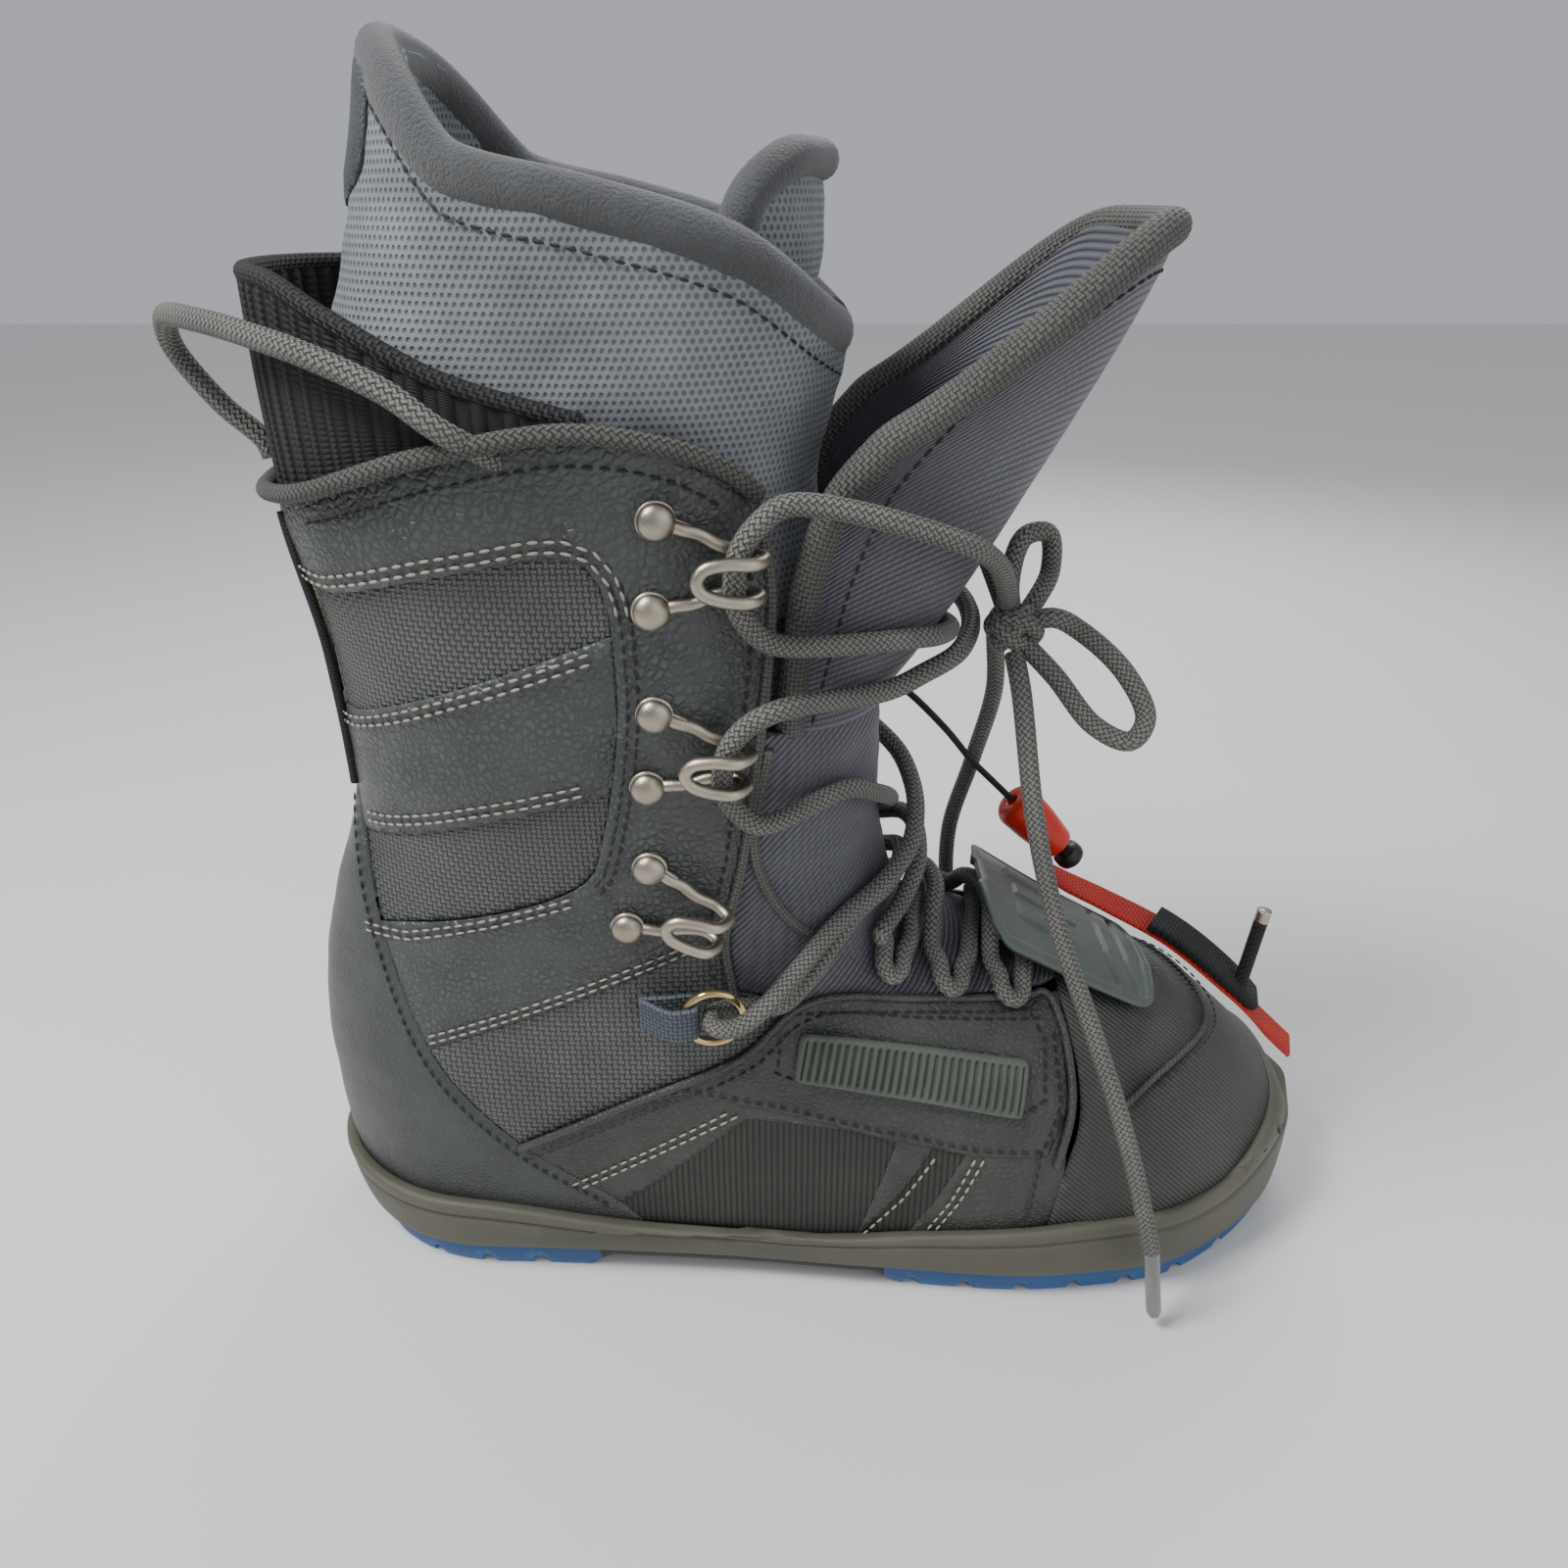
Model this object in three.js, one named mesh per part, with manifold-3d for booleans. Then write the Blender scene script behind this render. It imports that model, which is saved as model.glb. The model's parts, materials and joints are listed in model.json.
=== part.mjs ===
// Lace-up snowboard boot: rubber sole unit, panelled upper, speed hooks, removable liner, round laces.
// Millimetres, +Z up, +X towards the toe, lateral side towards -Y, floor at z = 0.
import * as THREE from 'three';
import { mergeVertices } from 'three/addons/utils/BufferGeometryUtils.js';
import Module from 'manifold-3d';

const wasm = await Module();
wasm.setup();

// ---------------------------------------------------------------- driving dimensions
const GAP = 0.3;                 // clearance between touching pieces
const LATERAL = -1;
const MEDIAL = 1;

const SEAM = 0.35;               // gap at the butted seams between panels
const UPPER_WALL = 3.4;          // leather and lining together
const FRAME_X = 12.2;            // middle of the sole's length, measured from the ankle's axis
const TOE_X = 168;               // foremost point of the upper
const COLLAR_BACK_Z = 241;       // collar, cuff and trims above it rise and fall with it

const FORM_COLUMNS = 13;         // facets from back to front on each side
const FORM_STEP_Z = 16;          // height of a facet row
const INSTEP_LOW = 80;
const INSTEP_HIGH = 124;
const INSTEP_STEP_Z = 7;

// silhouettes of the upper, each as [height or length, value]
const BACK_X = [[0, -138], [20, -142], [45, -145], [70, -145], [100, -141], [120, -135],
  [165, -121], [200, -121], [241, -125], [262, -119],
  [280, -110], [305, -101], [350, -90]];
const FRONT_X = [[85, 60], [100, 44], [115, 36], [130, 31], [153, 27], [180, 27], [205, 22],
  [243, 13], [270, 19], [300, 24], [350, 20]];
const TOP_Z = [[-40, 118], [20, 117], [50, 108], [80, 98], [105, 89], [123, 80], [140, 67],
  [155, 53], [163, 44], [168, 34]];
const FOOT_HALF_WIDTH = [[-145, 34], [-110, 39], [-70, 40.5], [-20, 43], [30, 48], [80, 52.5],
  [115, 51.5], [140, 47], [170, 40]];
const SHAFT_HALF_WIDTH = [[20, 36], [80, 40], [120, 42], [160, 45], [200, 48.5], [245, 52],
  [290, 53], [350, 50]];
const CENTRE_Y = [[-146, 0], [0, 0], [70, 1], [150, 7], [175, 8]];
const HEEL_ROUNDING = 52;        // length of the heel's curve in plan
const TOE_ROUNDING = 66;
const WIDEST_Z = 34;             // height at which the foot is widest

const MIDSOLE_BOTTOM = 9;
const MIDSOLE_WALL = 4.2;
const MIDSOLE_TOP = [[-152, 31], [-100, 30], [-40, 22], [0, 20], [50, 26], [90, 31], [135, 34],
  [160, 44], [176, 50]];
const UPPER_BOTTOM = 17;
const BOARD_THICKNESS = 3;
const ARCH_FROM = -55;
const ARCH_TO = 28;
const ARCH_RISE = 5.5;
const LUG_DEPTH = 3.2;
const LUG_PITCH = 17;

const LINER_WALL = 9;
const LINER_SOLE = 6;
const FOOTBED_THICKNESS = 4;
const RIM_Z = [[-132, 348], [-104, 342], [-86, 334], [-66, 311], [-40, 305], [-12, 297],
  [8, 282], [30, 262]];

const CUFF_THICKNESS = 9;

const BAND_THICKNESS = 1.4;      // the quarter's band over the window mesh
const TONGUE_THICKNESS = 6;
const TONGUE_FLAP_THICKNESS = 7;
const LINER_SLIT = 3;
const TONGUE_EDGE_GAP = 1.2;
const TONGUE_TO_LINER = 1.2;
const TONGUE_SPLIT_Z = 186;
const TONGUE_FRONT_X = [[170, 27.5], [186, 29], [200, 37], [215, 47.5], [241, 62], [272, 78], [300, 91]];
const TONGUE_EDGE_X = [[170, -1.5], [190, -1], [215, 0], [241, 6], [270, 32], [300, 58]];
const TONGUE_HALF_WIDTH = 37.5;   // at the split; the flap widens upwards
const TONGUE_WIDENING = 7.5;
const TONGUE_TOP_Z = 299;
const TONGUE_FOLD_Z = 243;       // the free top folds forward over this line

const HOOK_WIRE = 3.2;
const HOOK_RETURN = 11.3;        // height of the hook's return above the leather
const HOOK_SPREAD = 10.2;        // half the distance between a hook's two rivets
const HOOKS = [                  // rivet pair centre of each hook
  { name: 'top', x: -29, z: 233, tilt: -6 },
  { name: 'mid', x: -32, z: 187, tilt: -8 },
  { name: 'low', x: -38, z: 143, tilt: -20 },
];
const LUG_CLEARANCE = 0.6;
const RIVET_LIFT = 0.35;
const LUG_RADIUS = 4.6;
const LUG_THICKNESS = 1.4;
const RIVET_RADIUS = 4.3;
const RIVET_HEIGHT = 2.8;

const RING_RADIUS = 8.2;
const RING_WIRE = 2.4;
const RING_STANDOFF = 7;          // ring's plane above the leather, clear of the lace beneath
const WEBBING_WIDTH = 10;
const RING_X = -20;
const RING_Z = 105;

const GRIP_LENGTH = 67;
const GRIP_HEIGHT = 15;
const GRIP_THICKNESS = 3.2;
const GRIP_SLOPE = -9.5;
const GRIP_X = 37;
const GRIP_Z = 82;

const LACE = 5.3;
const LACE_SIDES = 8;
const ANKLE_LACE_LOW = 108;
const ANKLE_LACE_RISE = 12;
const ANKLE_LACE_SLANT = 14;
const ANKLE_LACE_CLEAR = 1.5;
const FLAP_CLEAR = 0.5;
const LACE_IN_HOOK = 6.85;       // lace's height in a hook, over the leather
const EYELETS = [30, 48, 66];
const EYELET_Y = 26;
const KNOT = [60, -12, 205];
const KNOT_RADIUS = 9;
const AGLET = 4.6;
const TAIL_NEAR = [[66, -33, 160], [74, -39, 130], [84, -45, 104], [93, -53, 80], [101, -59, 55],
  [107, -63, 32.6]];
const AGLET_NEAR = [[107.1, -63.1, 32.2], [111.5, -64, 6]];
const TAIL_FAR = [[60, 12, 196], [64, 26, 172], [62, 42, 140], [58, 53, 108], [60, 59, 78], [64, 60, 58.6]];
const AGLET_FAR = [[64.1, 60.1, 58.2], [67, 61, 33]];
const REAR_LOOP_START = [[-70, 263], [-80, 270], [-95, 276], [-110, 279]];
const REAR_LOOP_END = [[-130, -24, 281], [-144, -9, 280], [-148, 0, 272], [-141, 3, 259], [-131.5, 2, 250],
  [-130.2, 1.5, 246.2]];

const PULL_CORD = 2.2;
const PULL_ROUTE = [[6, 42, 179], [20, 40, 178], [36, 28, 172], [50, 29, 158], [61, 35, 143],
  [67, 35, 137]];
const LOCK_AXIS = [[75, 35, 129], [92, 35, 112]];
const LOCK_BORE = 2.1;
const BUTTON_RADIUS = 3;
const BUTTON_TRAVEL = 2.5;
const STRAP_WIDTH = 12;
const STRAP_THICKNESS = 1.6;
const STRAP_ROUTE = [[85.4, 35, 105.4], [94, 34.5, 99], [108, 29, 94], [128, 16, 88],
  [146, 5, 76], [158, 1, 64], [166, -2, 57]];
const SLEEVE_WIDTH = 13;
const SLEEVE_THICKNESS = 3.4;
const SLEEVE_FROM = 0.42;
const SLEEVE_TO = 0.8;
const CORD_END_HEIGHT = 28;

const GUARD_FROM = 54;
const GUARD_TO = 112;
const GUARD_HALF_WIDTH = 24;
const GUARD_THICKNESS = 3;
const GUARD_REAR_LIFT = 15.5;
const GUARD_FRONT_LIFT = 0.9;
const STRIP_THICKNESS = 1.2;
const STRIP_WIDTH = 15;
const PIPING_DIAMETER = 4.4;
const LINER_OUTER = UPPER_WALL + 0.8;
const LINER_TONGUE_THICKNESS = 7;

// ---------------------------------------------------------------- materials
function material(color, roughness, metalness = 0) {
  return new THREE.MeshStandardMaterial({ color, roughness, metalness });
}
const FINISH = {
  leather: () => material(0x56595a, 0.55),
  counter: () => material(0x6a7073, 0.5),
  mesh: () => material(0x464846, 0.85),
  ballistic: () => material(0x70717b, 0.8),
  twill: () => material(0x555a54, 0.7),
  foxing: () => material(0x6e6e5f, 0.6),
  outsole: () => material(0x2b6aa6, 0.6),
  board: () => material(0x3a3a38, 0.8),
  liner: () => material(0x84878c, 0.85),
  knit: () => material(0x202020, 0.9),
  nickel: () => material(0xb4aa96, 0.35, 1),
  brass: () => material(0xbea06e, 0.35, 1),
  lace: () => material(0x6e6c68, 0.85),
  red: () => material(0xe12d14, 0.5),
  black: () => material(0x161616, 0.6),
  guard: () => material(0x69736c, 0.55),
  webbing: () => material(0x5f6b78, 0.8),
  clear: () => material(0xb8b8b4, 0.3),
  tan: () => material(0x8d8468, 0.7),
};

// ---------------------------------------------------------------- solids
function toSolid(geometry) {
  const bare = geometry.index ? geometry.toNonIndexed() : geometry.clone();
  for (const name of Object.keys(bare.attributes)) {
    if (name !== 'position') bare.deleteAttribute(name);
  }
  const merged = mergeVertices(bare, 1e-3);
  const solid = new wasm.Manifold(new wasm.Mesh({
    numProp: 3,
    vertProperties: new Float32Array(merged.attributes.position.array),
    triVerts: new Uint32Array(merged.index.array),
  }));
  return solid;
}

function toGeometry(solid) {
  const mesh = solid.getMesh();
  const geometry = new THREE.BufferGeometry();
  geometry.setAttribute('position', new THREE.BufferAttribute(new Float32Array(mesh.vertProperties), 3));
  geometry.setIndex(new THREE.BufferAttribute(new Uint32Array(mesh.triVerts), 1));
  return geometry;
}

function largest(solid) {
  return solid.decompose().sort((a, b) => b.volume() - a.volume())[0];
}

function placed(geometry, position, rotation = [0, 0, 0]) {
  const object = new THREE.Object3D();
  object.position.set(...position);
  object.rotation.set(...rotation);
  object.updateMatrix();
  return geometry.applyMatrix4(object.matrix);
}

// smooth curve through [t, value] pairs that never overshoots them
function through(pairs, t) {
  const last = pairs.length - 1;
  if (t <= pairs[0][0]) return pairs[0][1];
  if (t >= pairs[last][0]) return pairs[last][1];
  const slope = (i) => (pairs[i + 1][1] - pairs[i][1]) / (pairs[i + 1][0] - pairs[i][0]);
  const tangent = (i) => {
    if (i === 0) return slope(0);
    if (i === last) return slope(last - 1);
    const [a, b] = [slope(i - 1), slope(i)];
    return a * b <= 0 ? 0 : (2 * a * b) / (a + b);
  };
  const i = pairs.findIndex((pair, k) => t >= pair[0] && t < pairs[k + 1][0]);
  const h = pairs[i + 1][0] - pairs[i][0];
  const s = (t - pairs[i][0]) / h;
  return pairs[i][1] * (1 + 2 * s) * (1 - s) ** 2 + tangent(i) * h * s * (1 - s) ** 2
    + pairs[i + 1][1] * s * s * (3 - 2 * s) + tangent(i + 1) * h * s * s * (s - 1);
}

// ---------------------------------------------------------------- form of the upper
function footHalfWidth(x, z, inset) {
  const back = through(BACK_X, z) + inset;
  const toe = TOE_X - inset;
  const top = through(TOP_Z, x) - inset;
  if (x <= back || x >= toe || z >= top) return 0;
  const heel = Math.max(0, 1 - (x - back) / HEEL_ROUNDING);
  const point = Math.max(0, 1 - (toe - x) / TOE_ROUNDING);
  const plan = (through(FOOT_HALF_WIDTH, x) - inset)
    * (1 - heel ** 2.3) ** (1 / 2.1) * (1 - point ** 2.3) ** (1 / 2.1);
  const rise = Math.max(0, (z - WIDEST_Z) / (top - WIDEST_Z));
  const tuck = 1 - 0.05 * Math.max(0, 1 - z / WIDEST_Z) ** 2;
  return plan * tuck * (1 - rise ** 2.3) ** (1 / 2.1);
}

function shaftHalfWidth(x, z, inset) {
  const back = through(BACK_X, z) + inset;
  const front = through(FRONT_X, z) - inset;
  if (x <= back || x >= front || z < 20) return 0;
  const u = Math.abs((2 * (x - back)) / (front - back) - 1);
  return (through(SHAFT_HALF_WIDTH, z) - inset) * (1 - u ** 2.5) ** (1 / 2.1);
}

function halfWidth(x, z, inset = 0) {
  return (footHalfWidth(x, z, inset) ** 8 + shaftHalfWidth(x, z, inset) ** 8) ** (1 / 8);
}

function frontAt(z, inset) {
  let [low, high] = [-60, TOE_X + 40];
  for (let k = 0; k < 40; k += 1) {
    const x = (low + high) / 2;
    if (halfWidth(x, z, inset) > 0) low = x;
    else high = x;
  }
  return low;
}

// heights of the form's facet rows, closer together over the instep
function formLevels() {
  const levels = [];
  let z = -20;
  while (z < 380) {
    levels.push(z);
    z += z >= INSTEP_LOW && z < INSTEP_HIGH ? INSTEP_STEP_Z : FORM_STEP_Z;
  }
  return levels;
}

const forms = new Map();

// a straight form keeps its section above the given height
function wholeForm(inset, straightFrom = 1000) {
  const key = `${inset} ${straightFrom}`;
  if (forms.has(key)) return forms.get(key);
  const levels = formLevels();
  const rows = levels.length - 1;
  const geometry = new THREE.CylinderGeometry(1, 1, 1, FORM_COLUMNS * 2, rows);
  const at = geometry.attributes.position;
  for (let i = 0; i < at.count; i += 1) {
    const z = levels[Math.round((at.getY(i) + 0.5) * rows)];
    const [c, s] = [at.getX(i), at.getZ(i)];
    const radius = Math.hypot(c, s);
    const level = Math.min(z, straightFrom);
    const back = through(BACK_X, level) + inset;
    const front = frontAt(level, inset);
    const reach = radius > 0.5 ? c / radius : 0;
    const x = back + ((front - back) * (1 + reach)) / 2;
    const side = radius > 0.5 && Math.abs(s) > 1e-6 ? -Math.sign(s) : 0;
    at.setXYZ(i, x, through(CENTRE_Y, x) + side * halfWidth(x, level, inset), z);
  }
  forms.set(key, toSolid(geometry));
  return forms.get(key);
}

// closed body of the upper's form, drawn in by inset, between two heights
function formBody(inset, bottom, top, straightFrom) {
  const slab = new THREE.BoxGeometry(500, 300, top - bottom);
  return wholeForm(inset, straightFrom).intersect(toSolid(placed(slab, [0, 0, (top + bottom) / 2])));
}

// point on the outside of the upper, seen from the side at (x, z)
function onSide(x, z, side, out = 0) {
  return new THREE.Vector3(x, through(CENTRE_Y, x) + side * (halfWidth(x, z) + out), z);
}

// prism across the whole boot from an outline in side view
function sidePrism(outline, from = -90, to = 90) {
  const shape = new THREE.Shape(outline.map(([x, z]) => new THREE.Vector2(x, z)));
  const geometry = new THREE.ExtrudeGeometry(shape, { depth: to - from, bevelEnabled: false, steps: 1 });
  return toSolid(placed(geometry, [0, to, 0], [Math.PI / 2, 0, 0]));
}

function halfPrism(outline, side) {
  return side === LATERAL ? sidePrism(outline, -90, -GAP) : sidePrism(outline, GAP, 90);
}

function smooth(points, divisions = 4) {
  const curve = new THREE.CatmullRomCurve3(points.map(([x, z]) => new THREE.Vector3(x, 0, z)),
    false, 'centripetal');
  return curve.getPoints(divisions * (points.length - 1)).map((p) => [p.x, p.z]);
}

function tubeAlong(points, diameter, sides, step, closed = false) {
  const curve = new THREE.CatmullRomCurve3(points.map((p) => (Array.isArray(p)
    ? new THREE.Vector3(...p) : p)), closed, 'centripetal');
  const section = new THREE.Shape();
  for (let k = 0; k < sides; k += 1) {
    const angle = ((k + 0.5) / sides) * 2 * Math.PI;
    const [a, b] = [Math.cos(angle) * diameter / 2, Math.sin(angle) * diameter / 2];
    if (k === 0) section.moveTo(a, b);
    else section.lineTo(a, b);
  }
  const steps = Math.max(4, Math.round(curve.getLength() / step));
  return new THREE.ExtrudeGeometry(section, { steps, extrudePath: curve, bevelEnabled: false });
}

// ---------------------------------------------------------------- outlines of the panels, side view
const COUNTER_EDGE = smooth([[-118, 162], [-112, 120], [-103, 83], [-78, 51], [-49, 28], [-38, 10]]);
const FACING_EDGE = smooth([[-3, 262], [-5, 243], [-3, 222], [-7, 178], [-11, 150],
  [-16, 125], [-14, 108]]);
const WINDOW_EDGE = smooth([[-107, 222], [-72, 231], [-44, 233], [-39, 205], [-46, 160], [-52, 146],
  [-104, 128], [-124, 126], [-132, 170], [-124, 219], [-107, 222]]);
const BAND = [[-140, 182], [-110, 189], [-42, 215], [-20, 223], [-24, 180], [-47, 172],
  [-116, 151], [-140, 146]];
const ANKLE_TOP = [[-103, 85], [-62, 104], [-26, 121], [-12, 128]];
const PIPING = smooth([[-79, 52], [-45, 70], [-11, 87], [5, 101], [40, 98], [83, 93]]);
const CAP_EDGE = smooth([[83, 93], [87, 70], [82, 45], [78, 10]]);
const COLLAR = smooth([[-140, COLLAR_BACK_Z - 1], [-110, COLLAR_BACK_Z + 5], [-75, COLLAR_BACK_Z + 16],
  [-44, COLLAR_BACK_Z + 21], [-20, COLLAR_BACK_Z + 16], [-3, COLLAR_BACK_Z + 2], [4, COLLAR_BACK_Z - 16]]);

const COLLAR_RISE = COLLAR.filter(([x]) => x <= -42).map(([x, z]) => [x, z + 0.6]);
const CUFF_TOP = [[-42, 23], [-70, 31], [-95, 43], [-112, 50], [-142, 51]]
  .map(([x, rise]) => [x, COLLAR_BACK_Z + rise]);

// ---------------------------------------------------------------- assembly
const boot = new THREE.Group();

function add(name, finish, shape) {
  const geometry = shape instanceof THREE.BufferGeometry ? shape : toGeometry(shape);
  const mesh = new THREE.Mesh(geometry, FINISH[finish]());
  mesh.name = name;
  boot.add(mesh);
  return mesh;
}

const sideName = (side) => (side === LATERAL ? 'lateral' : 'medial');

// sole unit -----------------------------------------------------------------
function addSole() {
  const rim = [];
  for (let x = 185; x >= -160; x -= 15) rim.push([x, through(MIDSOLE_TOP, x)]);
  const cup = formBody(-MIDSOLE_WALL, MIDSOLE_BOTTOM + GAP, 62)
    .intersect(sidePrism([[-160, 0], [185, 0], ...rim]))
    .subtract(formBody(-GAP, UPPER_BOTTOM - GAP, 120));
  add('midsole', 'foxing', largest(cup));
  const arch = [[ARCH_FROM - 8, -2], [ARCH_FROM, ARCH_RISE], [ARCH_TO, ARCH_RISE], [ARCH_TO + 8, -2]];
  const spring = smooth([[130, -2], [150, 1.2], [170, 5], [185, 10]]);
  let tread = formBody(1.5 - MIDSOLE_WALL, 0, MIDSOLE_BOTTOM)
    .subtract(sidePrism(arch))
    .subtract(sidePrism([...spring, [185, -4], [130, -4]]));
  for (let x = -132; x < 165; x += LUG_PITCH) {
    if (x < ARCH_FROM - 12 || x > ARCH_TO + 8) {
      tread = tread.subtract(sidePrism([[x, -2], [x, LUG_DEPTH], [x + 4, LUG_DEPTH], [x + 4, -2]]));
    }
  }
  add('outsole', 'outsole', largest(tread));
  add('lasting_board', 'board', formBody(4 * GAP, UPPER_BOTTOM, UPPER_BOTTOM + BOARD_THICKNESS));
}

// shell panels -----------------------------------------------------------------
function shellWall(outer, inner, bottom = UPPER_BOTTOM + BOARD_THICKNESS + GAP) {
  const hollow = formBody(inner, bottom - 5, COLLAR_BACK_Z + 49);
  return formBody(outer, bottom, COLLAR_BACK_Z + 34).subtract(hollow);
}

const moved = (outline, dx, dz) => outline.map(([x, z]) => [x + dx, z + dz]);

function addPanels() {
  const wall = shellWall(0, UPPER_WALL);
  const counter = [...COUNTER_EDGE, [-160, 10], [-160, 162]];
  const cap = [...CAP_EDGE, [180, 10], [180, 130], [83, 130]];
  const lower = [...PIPING, [83, 10], [-79, 10]];
  const throat = sidePrism([...FACING_EDGE, [5, 101], [40, 98], [90, 93], [90, 300], [0, 300]]);
  const aboveCollar = sidePrism([...COLLAR, [60, COLLAR_BACK_Z - 16], [60, COLLAR_BACK_Z + 79],
    [-180, COLLAR_BACK_Z + 79], [-180, COLLAR_BACK_Z - 1]]);
  const ankle = [...ANKLE_TOP, [-6, 101], [30, 60], [-60, 30], [-110, 60]];
  const window = sidePrism(WINDOW_EDGE);
  const band = sidePrism(BAND);

  add('heel_counter', 'counter', largest(wall.intersect(sidePrism(counter))));
  add('toe_cap', 'twill', largest(wall.intersect(sidePrism(cap))));
  const rest = wall.subtract(sidePrism(moved(counter, SEAM, SEAM)))
    .subtract(sidePrism(moved(cap, -SEAM, 0))).subtract(throat).subtract(aboveCollar);
  const side = rest.intersect(sidePrism(lower));
  const upper = rest.subtract(sidePrism(moved(lower, 0, SEAM)));
  const quarters = upper.subtract(sidePrism(moved(ankle, 0, SEAM)))
    .subtract(window.subtract(band))
    .subtract(window.intersect(formBody(BAND_THICKNESS, 100, 260)));
  const insets = shellWall(BAND_THICKNESS + GAP, UPPER_WALL)
    .intersect(sidePrism(WINDOW_EDGE.map(([x, z]) => [-80 + (x + 80) * 0.985, 180 + (z - 180) * 0.985])))
    .subtract(sidePrism(moved(counter, SEAM, SEAM)));
  for (const hand of [LATERAL, MEDIAL]) {
    const half = halfPrism([[-200, -10], [200, -10], [200, 400], [-200, 400]], hand);
    add(`side_panel_${sideName(hand)}`, 'leather', largest(side.intersect(half)));
    add(`ankle_panel_${sideName(hand)}`, 'ballistic',
      largest(upper.intersect(sidePrism(ankle)).intersect(half)));
    add(`quarter_${sideName(hand)}`, 'leather', largest(quarters.intersect(half)));
    add(`window_mesh_${sideName(hand)}`, 'mesh', largest(insets.intersect(half)));
  }
}

// tongue -----------------------------------------------------------------
function addTongue() {
  const rear = moved(FACING_EDGE.filter(([, z]) => z < TONGUE_SPLIT_Z), TONGUE_EDGE_GAP, 0);
  const region = sidePrism([[rear[0][0], TONGUE_SPLIT_Z - GAP], ...rear, [6, 102.2], [40, 99], [90, 94],
    [100, 94], [100, TONGUE_SPLIT_Z - GAP]]);
  const capBack = sidePrism(moved([...CAP_EDGE, [180, 10], [180, 130], [83, 130]], -SEAM, 0));
  const lower = formBody(0.2, 70, 200).subtract(formBody(TONGUE_THICKNESS, 60, 210))
    .intersect(region).subtract(capBack);
  add('tongue_lower', 'ballistic', largest(lower));
  const flap = new THREE.BoxGeometry(1, 1, 1, 14, 8, 1);
  const at = flap.attributes.position;
  for (let i = 0; i < at.count; i += 1) {
    const across = at.getX(i) * 2;
    const angle = across * 1.5;
    const corner = Math.max(0, Math.abs(across) - 0.35) / 0.65;
    const top = TONGUE_TOP_Z - 42 * corner ** 2.4;
    const z = TONGUE_SPLIT_Z + (at.getY(i) + 0.5) * (top - TONGUE_SPLIT_Z);
    const inward = (0.5 - at.getZ(i)) * TONGUE_FLAP_THICKNESS;
    const edge = through(TONGUE_EDGE_X, z);
    const depth = through(TONGUE_FRONT_X, z) - edge - inward;
    const half = TONGUE_HALF_WIDTH + TONGUE_WIDENING * (z - TONGUE_SPLIT_Z) / 110 - inward;
    at.setXYZ(i, edge + depth * Math.cos(angle) ** 0.9, half * Math.sin(angle), z);
  }
  const whole = toSolid(flap);
  const above = toSolid(placed(new THREE.BoxGeometry(300, 200, 100), [0, 0, TONGUE_FOLD_Z + 50]));
  const gap = toSolid(placed(new THREE.BoxGeometry(300, 200, 100), [0, 0, TONGUE_FOLD_Z - GAP + 50]));
  add('tongue_middle', 'ballistic', largest(whole.subtract(gap)));
  add('tongue_top', 'ballistic', largest(whole.intersect(above)));
}

// liner -----------------------------------------------------------------
function addLiner() {
  const floor = UPPER_BOTTOM + BOARD_THICKNESS + GAP;
  const outer = LINER_OUTER;
  const rim = [...smooth(RIM_Z, 3), [60, 262], [60, 400], [-180, 400], [-180, 348]];
  const shaft = formBody(outer, floor, 352).subtract(sidePrism(rim));
  const hollow = formBody(outer + LINER_WALL, floor + LINER_SOLE, 372);
  const slit = sidePrism([[-20, 175], [60, 175], [60, 400], [4, 400]], -LINER_SLIT / 2, LINER_SLIT / 2);
  const tongueRoom = formBody(TONGUE_THICKNESS + TONGUE_TO_LINER, 75, 240);
  const throatRoom = sidePrism([[-32, 215], [-32, 125], [-16, 100], [5, 95], [90, 88],
    [120, 88], [120, 215]]);
  const front = formBody(outer, floor, 352).subtract(tongueRoom).intersect(throatRoom);
  const body = shaft.subtract(front).subtract(hollow).subtract(slit);
  add('liner', 'liner', largest(body));
  add('footbed', 'board', formBody(outer + LINER_WALL + GAP + 0.3, floor + LINER_SOLE + GAP,
    floor + LINER_SOLE + GAP + FOOTBED_THICKNESS));
}

// hardware -----------------------------------------------------------------
// frame on the upper's side: a runs forward, b up, c away from the leather
function mountFrame(x, z, side, tilt = 0) {
  const origin = onSide(x, z, side);
  const alongX = onSide(x + 2, z, side).sub(onSide(x - 2, z, side)).normalize();
  const alongZ = onSide(x, z + 2, side).sub(onSide(x, z - 2, side)).normalize();
  const out = new THREE.Vector3().crossVectors(alongX, alongZ).normalize();
  if (out.y * side < 0) out.negate();
  const up = alongZ.clone().applyAxisAngle(out, THREE.MathUtils.degToRad(tilt) * side * -1);
  const forward = new THREE.Vector3().crossVectors(up, out).normalize();
  if (forward.x < 0) forward.negate();
  const frame = (a, b, c) => origin.clone().addScaledVector(forward, a)
    .addScaledVector(up, b).addScaledVector(out, c);
  frame.matrix = new THREE.Matrix4().makeBasis(forward, up, out).setPosition(origin);
  return frame;
}

// local solid placed in a frame; a left-handed frame turns its faces round again
function framed(geometry, frame) {
  const shaped = geometry.index ? geometry.toNonIndexed() : geometry.clone();
  shaped.applyMatrix4(frame.matrix);
  return toSolid(frame.matrix.determinant() < 0 ? reversed(shaped) : shaped);
}

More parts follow.
